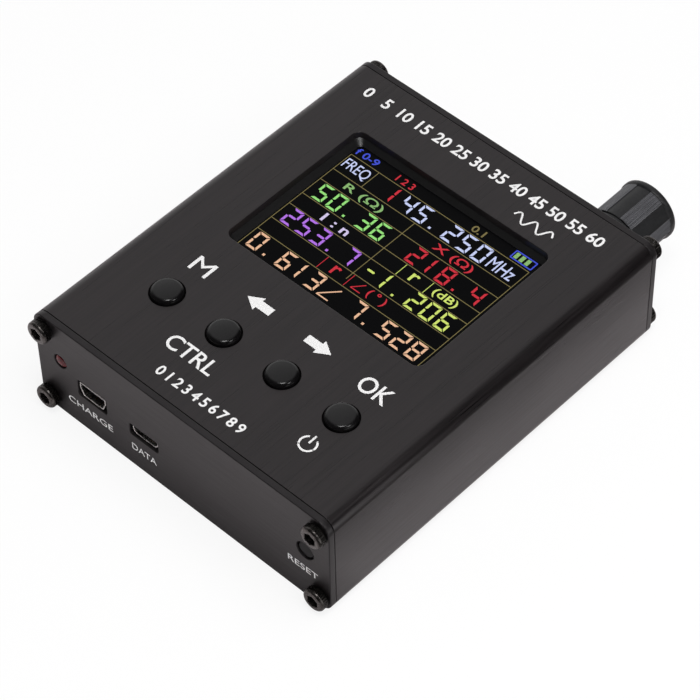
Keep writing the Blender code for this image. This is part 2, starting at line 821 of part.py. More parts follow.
def cap_profile():
    """Half section of the cap: end wall, rim, core of the grip, groove, skirt and bore."""
    mouth, grip, rim, end = cap_levels()
    core = cap_grip_radius - cap_land_rise - cap_groove_depth
    bore_end = cap_bore_end - antenna_face
    points = [(0, end)] + quarter_round(cap_rim_radius, end, cap_rim_round)
    points += [(cap_rim_radius, rim + cap_land_rise), (cap_grip_radius, rim), (core, rim)]
    points += [(core, mouth + cap_skirt_length), (cap_skirt_radius, mouth + cap_skirt_length)]
    points += [(cap_skirt_radius, mouth), (cap_bore_radius, mouth), (cap_bore_radius, bore_end), (0, bore_end)]
    return points


def grip_outline():
    """The grip's section: raised lands, with equal hollows between them."""
    low = cap_grip_radius - cap_land_rise
    points = []
    for land in range(cap_land_count):
        for part, radius in enumerate((cap_grip_radius, low)):
            start = 2 * pi * (land + cap_land_start_share + part / 2) / cap_land_count
            inset = cap_land_edge / radius if part == 0 else 0
            for i in range(arc_steps + 1):
                angle = start + inset + i / arc_steps * (pi / cap_land_count - 2 * inset)
                points.append((radius * cos(angle), radius * sin(angle)))
    return points


def make_dust_cap():
    """Screw-on cap whose grip has raised lands, and the rubber seal in its end."""
    axis = bpy.data.objects.new("cap_axis", None)
    model.objects.link(axis)
    axis.location = (jack_x, antenna_face, jack_z)
    axis.rotation_euler = facing_antenna_end
    cap = add_part("dust_cap", profile_mesh("dust_cap", cap_profile(), False), black_plastic)
    cap.parent = axis
    turn_profile(cap, cap_steps)
    mouth, grip_start, rim, end = cap_levels()
    length = rim + cap_land_rise - grip_start
    grip = add_cutter("cap_grip", grip_mesh(length), (0, 0, grip_start + length / 2))
    grip.parent = axis
    combine(cap, grip, "UNION")
    disc = rod("cap_seal", cap_bore_radius - seal_side_gap, seal_thickness, fine_steps)
    seal = add_part("cap_seal", disc, black_rubber, (0, 0, seal_start + seal_thickness / 2 - antenna_face))
    seal.parent = axis


def grip_mesh(length):
    """The grip as a tube that closes round the cap's core."""
    inside = ring_points((cap_bore_radius + cap_grip_radius - cap_land_rise) / 2, cap_steps)
    return outline_mesh("cap_grip", [grip_outline(), inside], length)


# Boards and what they carry


def board_mesh(name, width, length):
    """A circuit board with a hole for each standoff's screw."""
    hole = board_screw_radius + fit_gap
    middle = (main_board_front + main_board_back) / 2 if name == "main_board" else 0
    loops = [rounded_rectangle(width, length, fit_gap)]
    for sx, sy in corner_signs():
        loops.append(ring_points(hole, small_steps, (sx * standoff_x, sy * standoff_y - middle)))
    return outline_mesh(name, loops, board_thickness)


def make_boards():
    """Main board in the card guides, and the display board on standoffs over it."""
    main_width = case_width - 2 * wall - 2 * fit_gap
    main_length = main_board_back - main_board_front
    main_middle = (0, (main_board_front + main_board_back) / 2, main_board_height + board_thickness / 2)
    add_part("main_board", board_mesh("main_board", main_width, main_length), green_board, main_middle)
    upper_width = case_width - 2 * display_board_side_gap
    upper_length = 2 * (panel_inside - display_board_end_gap)
    upper_middle = (0, 0, display_board_bottom + board_thickness / 2)
    add_part("display_board", board_mesh("display_board", upper_width, upper_length), green_board, upper_middle)


def make_standoffs():
    """Four hexagon standoffs with a spigot in the main board, and the screws in their tops."""
    top = display_board_bottom - fit_gap
    head = board_screw_head_height
    slope = board_screw_head_radius * board_screw_slope_share
    reach = board_thickness + board_screw_reach
    profile = [(0, head), (slope, head), (board_screw_head_radius, head / 2), (board_screw_head_radius, 0),
               (board_screw_radius, 0), (board_screw_radius, -reach), (0, -reach)]
    for number, (sx, sy) in enumerate(corner_signs(), 1):
        x, y = sx * standoff_x, sy * standoff_y
        title = f"board_standoff_{number}"
        spacer = rod(title, standoff_width / 2 / cos(pi / 6), top - part_base, 6)
        standoff = add_part(title, spacer, nickel, (x, y, (top + part_base) / 2))
        spigot = rod(title + "_spigot", board_screw_radius, 2 * (part_base - main_board_height), small_steps)
        combine(standoff, add_cutter(title + "_spigot", spigot, (x, y, part_base)), "UNION")
        tap = rod(title + "_tap", board_screw_radius + fit_gap, 2 * (board_screw_reach + fit_gap), small_steps)
        combine(standoff, add_cutter(title + "_tap", tap, (x, y, top)), "DIFFERENCE")
        title = f"board_screw_{number}"
        mesh = profile_mesh(title, profile, False)
        turn_profile(add_part(title, mesh, steel, (x, y, display_board_top + fit_gap)), small_steps)


def make_board_plug():
    """Pin header under the display board, in a socket on the main board."""
    length = (header_pin_count + 2) * header_pin_pitch
    plug_top = display_board_bottom - fit_gap
    plug_bottom = plug_top - header_plug_height
    socket_top = plug_bottom - header_gap
    socket_height = socket_top - part_base
    body = block("board_socket", length, header_body_width, socket_height)
    socket_middle = (header_x, header_y, part_base + socket_height / 2)
    socket = add_part("board_socket", body, black_plastic, socket_middle)
    slot_floor = part_base + socket_height * header_floor_share
    slot_height = socket_top + cut_overrun - slot_floor
    slot = block("pin_slot", length - header_body_width / 2, header_slot_width, slot_height)
    slot_place = (header_x, header_y, slot_floor + slot_height / 2)
    combine(socket, add_cutter("pin_slot", slot, slot_place), "DIFFERENCE")
    plug = block("board_header", length, header_body_width, header_plug_height)
    header = add_part("board_header", plug, black_plastic, (header_x, header_y, plug_top - header_plug_height / 2))
    pin_bottom = slot_floor + fit_gap
    pin_length = plug_bottom + cut_overrun - pin_bottom
    pin = block("header_pins", header_pin_width, header_pin_width, pin_length)
    first_x = header_x - (header_pin_count - 1) / 2 * header_pin_pitch
    pins = add_cutter("header_pins", pin, (first_x, header_y, pin_bottom + pin_length / 2))
    row = pins.modifiers.new("row", "ARRAY")
    row.count = header_pin_count
    row.use_relative_offset = False
    row.use_constant_offset = True
    row.constant_offset_displace = (header_pin_pitch, 0, 0)
    combine(header, pins, "UNION")


def make_board_parts():
    """Shield can over the radio section, and the processor."""
    shield = block("radio_shield", shield_width, shield_length, shield_height)
    can = add_part("radio_shield", shield, silver_foil, (shield_x, shield_y, part_base + shield_height / 2))
    hollow_size = (shield_width - 2 * shield_wall, shield_length - 2 * shield_wall, shield_height)
    hollow = block("shield_hollow", *hollow_size)
    hollow_middle = (shield_x, shield_y, part_base + shield_height / 2 - shield_wall)
    combine(can, add_cutter("shield_hollow", hollow, hollow_middle), "DIFFERENCE")
    processor = block("processor", processor_width, processor_width, processor_height)
    add_part("processor", processor, black_plastic, (processor_x, processor_y, part_base + processor_height / 2))


# Battery


def make_battery():
    """Flat cell on a foam pad, with its lead and plug under the main board."""
    pad_bottom = wall + fit_gap
    pad_size = (battery_width - 2 * battery_pad_inset, battery_length - 2 * battery_pad_inset)
    pad = block("battery_pad", *pad_size, battery_pad_thickness)
    pad_middle = (battery_x, battery_y, pad_bottom + battery_pad_thickness / 2)
    add_part("battery_pad", pad, black_foam, pad_middle)
    cell_bottom = pad_bottom + battery_pad_thickness + fit_gap
    cell_middle = cell_bottom + battery_thickness / 2
    section = rounded_rectangle(battery_width, battery_thickness, battery_round)
    cell = outline_mesh("battery", [section], battery_length)
    add_part("battery", cell, silver_foil, (battery_x, battery_y, cell_middle), facing_socket_end)

    socket_top = main_board_height - fit_gap
    cell_side = battery_x - battery_width / 2
    socket_face_x = cell_side - battery_socket_gap
    socket_middle = (socket_face_x - battery_socket_depth / 2, battery_lead_y, socket_top - battery_socket_height / 2)
    box = block("battery_socket", battery_socket_depth, battery_socket_width, battery_socket_height)
    socket = add_part("battery_socket", box, white_plastic, socket_middle)
    rim = battery_socket_wall
    inner_depth = battery_socket_depth - rim
    inner = block("battery_pocket", inner_depth + cut_overrun, battery_socket_width - 2 * rim,
                  battery_socket_height - 2 * rim)
    inner_middle = (socket_face_x + cut_overrun - (inner_depth + cut_overrun) / 2, *socket_middle[1:])
    combine(socket, add_cutter("battery_pocket", inner, inner_middle), "DIFFERENCE")

    plug_size = (battery_plug_depth, battery_socket_width - 2 * (rim + fit_gap),
                 battery_socket_height - 2 * (rim + fit_gap))
    plug_x = socket_face_x - inner_depth + fit_gap + battery_plug_depth / 2
    plug = block("battery_plug", *plug_size)
    add_part("battery_plug", plug, white_plastic, (plug_x, *socket_middle[1:]))
    lead_start = plug_x + battery_plug_depth / 2 + fit_gap
    lead_end = cell_side - fit_gap
    route = []
    for i in range(2 * arc_steps + 1):
        share = i / (2 * arc_steps)
        ease = (1 - cos(pi * share)) / 2
        height = socket_middle[2] + (cell_middle - socket_middle[2]) * ease
        route.append((lead_start + (lead_end - lead_start) * share, battery_lead_y, height))
    add_part("battery_lead", tube_curve("battery_lead", route, battery_lead_radius), black_rubber)


make_housing()
make_front_panel()
make_rear_panel()
make_panel_screws("front_panel_screw", socket_face, facing_socket_end)
make_panel_screws("rear_panel_screw", antenna_face, facing_antenna_end)
make_display()
make_display_flex()
make_buttons()
make_reset()
make_charge_lamp()
make_socket("charge_socket", charge_socket_x, charge_socket_width, charge_socket_height,
            charge_socket_depth, charge_socket_recess, charge_shell_shares)
make_socket("data_socket", data_socket_x, data_socket_width, data_socket_height,
            data_socket_depth, data_socket_recess, data_shell_shares)
make_jack()
make_jack_hardware()
make_coax_link()
make_dust_cap()
make_boards()
make_standoffs()
make_board_plug()
make_board_parts()
make_battery()
print("jack and cap travel", round(cap_travel, 6), "m over", cap_turns, "turns")
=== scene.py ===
from math import atan2, cos, degrees, pi, radians, sin

import bmesh
import bpy
from mathutils import Matrix, Vector


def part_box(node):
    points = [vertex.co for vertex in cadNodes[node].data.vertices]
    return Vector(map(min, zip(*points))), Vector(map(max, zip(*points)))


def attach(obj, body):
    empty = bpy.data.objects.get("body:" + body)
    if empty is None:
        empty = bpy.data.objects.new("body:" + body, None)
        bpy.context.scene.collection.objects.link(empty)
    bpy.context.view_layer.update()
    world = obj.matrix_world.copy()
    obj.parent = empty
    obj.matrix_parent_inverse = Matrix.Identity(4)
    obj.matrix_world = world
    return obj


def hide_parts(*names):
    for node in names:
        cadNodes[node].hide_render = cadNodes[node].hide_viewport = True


# Looks of a hand-held antenna analyzer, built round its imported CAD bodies.
# Lengths in the dictionaries are millimetres, X across, Y from socket end to antenna end, Z up.
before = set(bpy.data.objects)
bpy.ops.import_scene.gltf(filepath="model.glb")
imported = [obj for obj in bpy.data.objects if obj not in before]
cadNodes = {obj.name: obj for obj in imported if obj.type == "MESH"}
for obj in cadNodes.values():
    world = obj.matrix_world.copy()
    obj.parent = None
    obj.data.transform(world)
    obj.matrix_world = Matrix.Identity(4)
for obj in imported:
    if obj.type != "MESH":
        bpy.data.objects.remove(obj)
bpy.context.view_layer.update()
mm = 0.001
plainWhite = (1, 1, 1, 1)
print("frame loaded,", len(cadNodes), "nodes")


# Small tools for nodes, meshes and pieces

def linear(hexColour):
    channels = [int(hexColour[i:i + 2], 16) / 255 for i in (1, 3, 5)]
    return [c / 12.92 if c <= 0.04045 else ((c + 0.055) / 1.055) ** 2.4 for c in channels] + [1.0]


def addNode(tree, kind, parts=None):
    # A part is a setting, a socket's value, or a node or socket that it is linked from
    node = tree.nodes.new("ShaderNode" + kind)
    for key, value in (parts or {}).items():
        if isinstance(value, bpy.types.Node):
            value = value.outputs[0]
        if isinstance(value, bpy.types.NodeSocket):
            tree.links.new(value, node.inputs[key])
        elif key == "stops":
            ramp = node.color_ramp.elements
            while len(ramp) < len(value):
                ramp.new(0.5)
            for stop, (place, colour) in zip(ramp, value):
                stop.position = place
                stop.color = colour
        elif isinstance(key, int) or key in node.inputs:
            node.inputs[key].default_value = value
        else:
            setattr(node, key, value)
    return node


def startTree(owner):
    owner.use_nodes = True
    owner.node_tree.nodes.clear()
    return owner.node_tree


def startMaterial(name):
    material = bpy.data.materials.new(name)
    tree = startTree(material)
    shader = addNode(tree, "BsdfPrincipled")
    addNode(tree, "OutputMaterial", {"Surface": shader})
    return material, tree, shader, addNode(tree, "TexCoord").outputs["Object"]


def finishOf(dark, light, grain, cloud, roughness, bump, share=0.35, bumpStrength=0.4, ior=1.5,
             metallic=0.0, specular=0.5, tint=plainWhite):
    # Two tones, grain and cloud size, roughness from and to, bump depth, and the clouds' share of the tone
    sizes = grain if isinstance(grain, tuple) else (grain,) * 3
    return {"tones": (dark, light), "grain": sizes, "cloud": cloud, "roughness": roughness, "bump": bump,
        "share": share, "bumpStrength": bumpStrength, "sockets": {"IOR": ior, "Metallic": metallic,
            "Specular IOR Level": specular, "Specular Tint": tint}}


def makeFinish(name, look):
    # A grain of a real size with broad clouds of tone over it
    material, tree, shader, surface = startMaterial(name)
    scale = [1 / (size * mm) for size in look["grain"]]
    stretch = addNode(tree, "Mapping", {"Scale": scale, "Vector": surface})
    grain = addNode(tree, "TexNoise", {"Scale": 1.0, "Detail": 3.0, "Roughness": 0.6, "Vector": stretch})
    cloud = addNode(tree, "TexNoise", {"Scale": 1 / (look["cloud"] * mm), "Detail": 2.0, "Vector": surface})
    blend = addNode(tree, "Mix", {0: look["share"], 2: grain, 3: cloud})
    # Noise lies mostly between 0.3 and 0.7
    dark, light = [linear(tone) for tone in look["tones"]]
    low, high = look["roughness"]
    tone = addNode(tree, "ValToRGB", {"stops": [(0.34, dark), (0.66, light)], "Fac": blend})
    rough = addNode(tree, "MapRange", {"From Min": 0.3, "From Max": 0.7, "To Min": low, "To Max": high,
            "Value": blend})
    bump = addNode(tree, "Bump", {"Strength": look["bumpStrength"], "Distance": look["bump"] * mm,
            "Height": grain})
    for key, source in (("Base Color", tone), ("Roughness", rough), ("Normal", bump)):
        tree.links.new(source.outputs[0], shader.inputs[key])
    for key, value in look["sockets"].items():
        shader.inputs[key].default_value = value
    return material


def roundedBox(width, height, radius, centre=(0, 0), steps=10):
    points = []
    for turn, (sx, sy) in enumerate(((1, 1), (-1, 1), (-1, -1), (1, -1))):
        for i in range(steps + 1):
            angle = (turn + i / steps) * pi / 2
            points.append((centre[0] + sx * (width / 2 - radius) + radius * cos(angle),
                    centre[1] + sy * (height / 2 - radius) + radius * sin(angle)))
    return points


def circlePoints(radius, steps, centre=(0, 0)):
    return [(centre[0] + radius * cos(2 * pi * i / steps), centre[1] + radius * sin(2 * pi * i / steps))
        for i in range(steps)]


def easedCorners(corners, reach, steps=4):
    # Each corner of an outline becomes a short curve that starts and ends a reach away from it
    points = []
    for i, corner in enumerate(corners):
        here = Vector(corner)
        back = Vector(corners[i - 1]) - here
        ahead = Vector(corners[(i + 1) % len(corners)]) - here
        size = min(reach, back.length * 0.45, ahead.length * 0.45)
        start, end = here + back.normalized() * size, here + ahead.normalized() * size
        for j in range(steps + 1):
            t = j / steps
            points.append(tuple((1 - t) ** 2 * start + 2 * t * (1 - t) * here + t ** 2 * end))
    return points


def addObject(name, data):
    made = bpy.data.objects.new(name, data)
    bpy.context.scene.collection.objects.link(made)
    return made


def realMesh(thing):
    # The mesh that a curve, a text or an object with modifiers makes
    return bpy.data.meshes.new_from_object(thing.evaluated_get(bpy.context.evaluated_depsgraph_get()))


def fillMesh(mesh, shape):
    # A mesh gets the faces of a shape, all looking out
    bmesh.ops.recalc_face_normals(shape, faces=shape.faces)
    shape.to_mesh(mesh)
    shape.free()
    return mesh


def pointMesh(name, points, faces):
    mesh = bpy.data.meshes.new(name)
    mesh.from_pydata([[c * mm for c in point] for point in points], [], faces)
    shape = bmesh.new()
    shape.from_mesh(mesh)
    return fillMesh(mesh, shape)


def plateMesh(name, loops, thickness, edge):
    # A flat plate with holes and rounded edges, lying in XY about its own middle
    curve = bpy.data.curves.new(name, "CURVE")
    curve.dimensions = "2D"
    curve.fill_mode = "BOTH"
    curve.extrude = (thickness / 2 - edge) * mm
    curve.bevel_depth = edge * mm
    curve.bevel_resolution = 2
    curve.offset = -edge * mm
    for number, loop in enumerate(loops):
        area = sum(a[0] * b[1] - b[0] * a[1] for a, b in zip(loop, loop[1:] + loop[:1]))
        if (area > 0) != (number == 0):
            loop = loop[::-1]
        spline = curve.splines.new("POLY")
        spline.points.add(len(loop) - 1)
        for point, (x, y) in zip(spline.points, loop):
            point.co = (x * mm, y * mm, 0, 1)
        spline.use_cyclic_u = True
    guide = addObject(name, curve)
    mesh = realMesh(guide)
    bpy.data.objects.remove(guide)
    bpy.data.curves.remove(curve)
    shape = bmesh.new()
    shape.from_mesh(mesh)
    bmesh.ops.remove_doubles(shape, verts=shape.verts, dist=mm / 1000)
    return fillMesh(mesh, shape)


def ringsMesh(name, rings):
    # Rings of points joined one to the next; a ring of one point closes an end, and so does a flat face
    points, faces, starts = [], [], []
    for ring in rings:
        starts.append(len(points))
        points += ring
    for first, second, a, b in zip(starts, starts[1:], rings, rings[1:]):
        count = max(len(a), len(b))
        for i in range(count):
            j = (i + 1) % count
            if len(a) == 1:
                faces.append((first, second + j, second + i))
            elif len(b) == 1:
                faces.append((first + i, first + j, second))
            else:
                faces.append((first + i, first + j, second + j, second + i))
    for ring, start in ((rings[0], starts[0]), (rings[-1], starts[-1])):
        if len(ring) > 1:
            faces.append(tuple(range(start, start + len(ring))))
    return pointMesh(name, points, faces)


def turnedRings(levels, centre, facing, steps, reachAt=None):
    # Rings round an axis: levels are (radius, height), and reachAt may change a radius at an angle
    rings = []
    for number, (radius, height) in enumerate(levels):
        ring = []
        for i in range(steps if radius else 1):
            angle = 2 * pi * i / steps
            reach = reachAt(number, angle, radius) if reachAt else radius
            across, along = reach * cos(angle), reach * sin(angle)
            if facing == "up":
                ring.append((centre[0] + across, centre[1] + along, centre[2] + height))
            else:
                outward = 1 if facing == "antennaEnd" else -1
                ring.append((centre[0] + across, centre[1] + outward * height, centre[2] + along))
        rings.append(ring)
    return rings


def roundTop(radius, top, size, steps=6):
    return [(radius - size * (1 - sin(i / steps * pi / 2)), top - size * (1 - cos(i / steps * pi / 2)))
        for i in range(steps + 1)]


def cutOut(piece, tools):
    helpers = []
    for tool in tools:
        helper = addObject(tool.name, tool)
        change = piece.modifiers.new(tool.name, "BOOLEAN")
        change.operation = "DIFFERENCE"
        change.solver = "EXACT"
        change.object = helper
        helpers.append(helper)
    mesh = realMesh(piece)
    piece.modifiers.clear()
    piece.data = mesh
    for helper in helpers:
        bpy.data.objects.remove(helper)


def newPiece(name, mesh, material, body, stands=(), sharp=32, turn=None, place=(0, 0, 0), cuts=()):
    if turn:
        mesh.transform(Matrix.Rotation(radians(turn), 4, "X"))
    mesh.transform(Matrix.Translation([c * mm for c in place]))
    piece = addObject(name, mesh)
    if cuts:
        cutOut(piece, cuts)
    piece.data.materials.clear()
    piece.data.materials.append(material)
    piece.data.shade_smooth()
    piece.data.set_sharp_from_angle(angle=radians(sharp))
    weight = piece.modifiers.new("faces", "WEIGHTED_NORMAL")
    weight.keep_sharp = True
    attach(piece, body)
    if stands:
        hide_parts(*stands)
    return piece


# Camera at the photograph's angle; its place is in metres

camera = {"place": (0.29919, -0.30683, 0.50917), "ahead": (-0.45185, 0.46387, -0.76201),
    "right": (0.72915, 0.68417, -0.01587), "lens": 159.9, "sensor": 36, "nearest": 10}


def makeCamera():
    ahead = Vector(camera["ahead"]).normalized()
    right = Vector(camera["right"]).normalized()
    up = right.cross(ahead).normalized()
    lens = bpy.data.cameras.new("photoCamera")
    lens.lens = camera["lens"]
    lens.sensor_width = camera["sensor"]
    lens.clip_start = camera["nearest"] * mm
    seen = addObject("photoCamera", lens)
    turned = Matrix((right, up, -ahead)).transposed().to_4x4()
    seen.matrix_world = Matrix.Translation(camera["place"]) @ turned
    bpy.context.scene.camera = seen


# Soft studio light on a white floor; the floor's size and the lamps' places and sizes are in metres

studio = {
    "world": 0.2, "floorSize": 6.0, "floorDrop": 0.1, "floor": "#ffffff", "floorOwnWhite": 0.85,
    # What a glossy surface mirrors, by degrees from straight up towards the right: a pale ceiling over the
    # left, a dark room over the right
    "room": ((-180, 1.0), (-75, 1.0), (-46, 0.63), (-22, 0.55), (-10, 0.44), (6, 0.16), (22, 0.0),
        (90, 0.0), (180, 0.9)),
    # The ceiling is pale behind the object and dark over the camera, by the direction's share of Y
    "roomDepth": ((-1.0, 0.03), (-0.5, 0.05), (-0.25, 0.12), (0.2, 1.0), (1.0, 1.0)),
    # What the floor shows in a mirror is painted by position: a warm-tinted painted pool of light that fades
    # by millimetres to the right, and a painted shadow nearer the front plate's foot
    "sheet": ((41, 1.0), (44, 0.86), (49, 0.84), (54, 0.54), (59, 0.2), (75, 0.08), (250, 0.04)),
    "sheetTint": (1.0, 0.94, 0.955),
    "foot": ((-80, 1.0), (-62, 1.0), (-52, 0.6), (-48, 0.6), (-38, 1.0)),
    # A small white card beside the front right corner: X, Y from and to, and height
    "card": (108, -75, 8, 40), "cardGlow": 1.15,
}
lamps = {
    "overheadSoftbox": {"place": (0.3, 0.1, 1.1), "size": 0.9, "power": 7.4, "mirrored": False},
    "overheadLamp": {"place": (0.195, -0.185, 1.115), "size": 0.3, "power": 3.0, "mirrored": True},
    "rightSoftbox": {"place": (0.8, -0.55, 0.75), "size": 0.4, "power": 1.2, "mirrored": False},
    "rightLamp": {"place": (0.75, 0.04, 0.75), "size": 0.22, "power": 1.0, "mirrored": True},
}


def rampAlong(tree, source, low, high, stops, tint=(1, 1, 1)):
    # A value's range from low to high turned into levels of grey or of a tint
    share = addNode(tree, "MapRange", {"From Min": low, "From Max": high, "Value": source})
    levels = [((place - low) / (high - low), [level * part for part in tint] + [1])
        for place, level in stops]
    return addNode(tree, "ValToRGB", {"stops": levels, "Fac": share})


def makeWorld():
    # The camera and clear parts see white, mirrors see the room, and a low fill lights the rest
    world = bpy.data.worlds.new("studio")
    bpy.context.scene.world = world
    tree = startTree(world)
    path = addNode(tree, "LightPath").outputs
    fill = addNode(tree, "Background", {"Color": plainWhite, "Strength": studio["world"]})
    white = addNode(tree, "Background", {"Color": plainWhite, "Strength": 1.0})
    clear = addNode(tree, "Math", {"operation": "MAXIMUM", 0: path["Is Camera Ray"],
            1: path["Is Transmission Ray"]})
    plain = addNode(tree, "MixShader", {0: clear, 1: fill, 2: white})
    way = addNode(tree, "TexCoord").outputs["Generated"]
    way = addNode(tree, "SeparateXYZ", {0: way}).outputs
    turn = addNode(tree, "Math", {"operation": "ARCTAN2", 0: way["X"], 1: way["Z"]})
    stops = [(radians(angle), level) for angle, level in studio["room"]]
    walls = rampAlong(tree, turn, -pi, pi, stops)
    depth = rampAlong(tree, way["Y"], -1, 1, studio["roomDepth"])
    room = addNode(tree, "Background", {"Color": walls, "Strength": depth})
    mix = addNode(tree, "MixShader", {0: path["Is Glossy Ray"], 1: plain, 2: room})
    addNode(tree, "OutputWorld", {"Surface": mix})


def makeFloor():
    half = studio["floorSize"] / 2
    mesh = bpy.data.meshes.new("studioFloor")
    mesh.from_pydata([(-half, -half, 0), (half, -half, 0), (half, half, 0), (-half, half, 0)], [],
        [(0, 1, 2, 3)])
    floor = addObject("studioFloor", mesh)
    floor.location.z = -studio["floorDrop"] * mm
    material = bpy.data.materials.new("whitePaperSweep")
    tree = startTree(material)
    path = addNode(tree, "LightPath").outputs
    spot = addNode(tree, "TexCoord").outputs["Object"]
    spot = addNode(tree, "SeparateXYZ", {0: spot}).outputs
    # Mirrors see the floor's tone painted: a pool of light fading to the right, and a shadow at the front
    # plate's foot
    sheet = rampAlong(tree, spot["X"], 0, 0.25, [(place * mm, level) for place, level in studio["sheet"]],
        studio["sheetTint"])
    foot = rampAlong(tree, spot["Y"], -0.1, 0, [(place * mm, level) for place, level in studio["foot"]])
    both = addNode(tree, "Mix", {"data_type": "RGBA", "blend_type": "MULTIPLY", 0: 1.0, 6: sheet,
            7: foot})
    tone = addNode(tree, "Mix", {"data_type": "RGBA", 0: path["Is Glossy Ray"],
            6: linear(studio["floor"]), 7: both.outputs[2]}).outputs[2]
    paper = addNode(tree, "BsdfDiffuse", {"Color": tone})
    glow = addNode(tree, "Emission", {"Strength": 1.0, "Color": tone})
    share = addNode(tree, "Math", {"operation": "MULTIPLY", 0: path["Is Camera Ray"],
            1: studio["floorOwnWhite"]})
    mix = addNode(tree, "MixShader", {0: share, 1: paper, 2: glow})
    addNode(tree, "OutputMaterial", {"Surface": mix})
    mesh.materials.append(material)


def makeCard():
    # Only mirrored: the near end of the case's round edge shows it as a soft pale line
    x, start, end, top = [c * mm for c in studio["card"]]
    mesh = bpy.data.meshes.new("whiteCard")
    mesh.from_pydata([(x, start, 0), (x, end, 0), (x, end, top), (x, start, top)], [], [(0, 1, 2, 3)])
    material = bpy.data.materials.new("whiteCardboard")
    tree = startTree(material)
    glow = addNode(tree, "Emission", {"Color": plainWhite, "Strength": studio["cardGlow"]})
    addNode(tree, "OutputMaterial", {"Surface": glow})
    mesh.materials.append(material)
    card = addObject("whiteCard", mesh)
    card.visible_camera = card.visible_diffuse = card.visible_shadow = card.visible_transmission = False


def makeLamps():
    for name, lamp in lamps.items():
        light = bpy.data.lights.new(name, "AREA")
        light.size = lamp["size"]
        light.energy = lamp["power"]
        box = addObject(name, light)
        box.location = lamp["place"]
        box.rotation_euler = (-Vector(lamp["place"])).to_track_quat("-Z", "Y").to_euler()
        box.visible_camera = False
        box.visible_glossy = lamp["mirrored"]


makeCamera()
makeWorld()
makeFloor()
makeCard()
makeLamps()
bpy.context.scene.view_settings.view_transform = "Standard"
print("camera and studio ready")


# Case: extruded aluminium, brushed along its length and dyed black in the anodising bath.
# The eye sees a warm soft black with a faint lengthwise grain and brighter flanks.

warmTint = (1.0, 0.95, 0.965, 1.0)
caseTube = {
    "width": 84, "height": 28, "corner": 3.0, "wall": 1.5, "endEdge": 0.12, "endReach": 0.24,
    # Card guides from their lip, and the screw channels as X and Z from the middle and radius
    "lip": 1.4, "slots": ((19.6, 17.4), (10.6, 8.4)), "lipThickness": 1.0,
    "channel": (39.0, 10.3, 2.75), "channelArc": (126.9, 303.1), "bore": 1.7,
    "window": (54.9, 41.2, 2.0, 12.4), "windowEdge": 0.2, "cutFrom": 25.8,
    "holeRadius": 3.9, "holeEdge": 0.12, "holeY": -28.0, "holeX": (-24.75, -8.25, 8.25, 24.75),
    # Brush lines are about 0.05 mm apart; they are drawn 0.42 mm apart so that they show
    "finish": finishOf("#0e0c0d", "#1d191a", (0.42, 22.0, 0.42), 22.0, (0.24, 0.44), 0.03, share=0.2,
        specular=0.6, tint=warmTint),
    # The milled walls of the window opening are unbrushed, and are painted paler as light that lifts them
    # out of the window's shade
    "wallFinish": finishOf("#211e1f", "#2d2a2b", 0.4, 6.0, (0.3, 0.42), 0.01),
}
endPlate = {
    "thickness": 1.6, "edge": 0.22, "innerFace": 48.4,
    # The plates are brushed across
    "finish": finishOf("#0e0c0d", "#201d1e", (20.0, 0.42, 0.42), 22.0, (0.34, 0.5), 0.03, share=0.25,
        specular=0.33, tint=warmTint),
    # The sawn edges aren't brushed; they get a paler, glossier copy of the finish, painted light that lifts
    # the band along the plates' edges
    "edgeFinish": finishOf("#1a1819", "#242223", 0.4, 10.0, (0.28, 0.4), 0.02, specular=0.34,
        tint=warmTint),
    # Round openings as X, Z and radius, the others as X, Z, width and height
    "lamp": (-35.0, 16.8, 1.8), "reset": (35.2, 14.9, 2.3), "jack": (25.9, 14.0, 5.85),
    "charge": (-25.9, 12.55, 8.5, 4.7), "data": (-10.7, 11.825, 8.3, 3.25), "openingCorner": 0.5,
}


def tubeOutside():
    return roundedBox(caseTube["width"], caseTube["height"], caseTube["corner"], steps=14)


def screwBores():
    x, z, radius = caseTube["channel"]
    return [circlePoints(caseTube["bore"], 24, (sx * x, sz * z)) for sx in (-1, 1) for sz in (-1, 1)]


def tubeInside():
    # Inner outline: card guides at both sides and a round screw channel in each corner
    side = caseTube["width"] / 2 - caseTube["wall"]
    middle = caseTube["height"] / 2
    lip = side - caseTube["lip"]
    cx, cz, radius = caseTube["channel"]
    start, end = [radians(angle) for angle in caseTube["channelArc"]]
    turns = [start + (end - start) * i / 16 for i in range(17)]
    arc = [(cx + radius * cos(turn), cz + radius * sin(turn)) for turn in turns]
    right = arc
    for high, low in caseTube["slots"]:
        high, low, thick = high - middle, low - middle, caseTube["lipThickness"]
        right = right + [(side, high + thick), (lip, high + thick), (lip, high), (side, high)]
        right = right + [(side, low), (lip, low), (lip, low - thick), (side, low - thick)]
    right = right + [(x, -z) for x, z in reversed(arc)]
    return right + [(-x, z) for x, z in reversed(right)]


def openingTool(name, outlineAt, edge):
    # A cutter whose upper end flares as the quarter round of a broken edge
    top = caseTube["height"]
    levels = [(0, caseTube["cutFrom"])]
    for i in range(5):
        angle = i / 4 * pi / 2
        levels.append((edge * (1 - cos(angle)), top - edge + edge * sin(angle)))
    levels.append((edge, top + 1))
    return ringsMesh(name, [[(x, y, z) for x, y in outlineAt(grow)] for grow, z in levels])


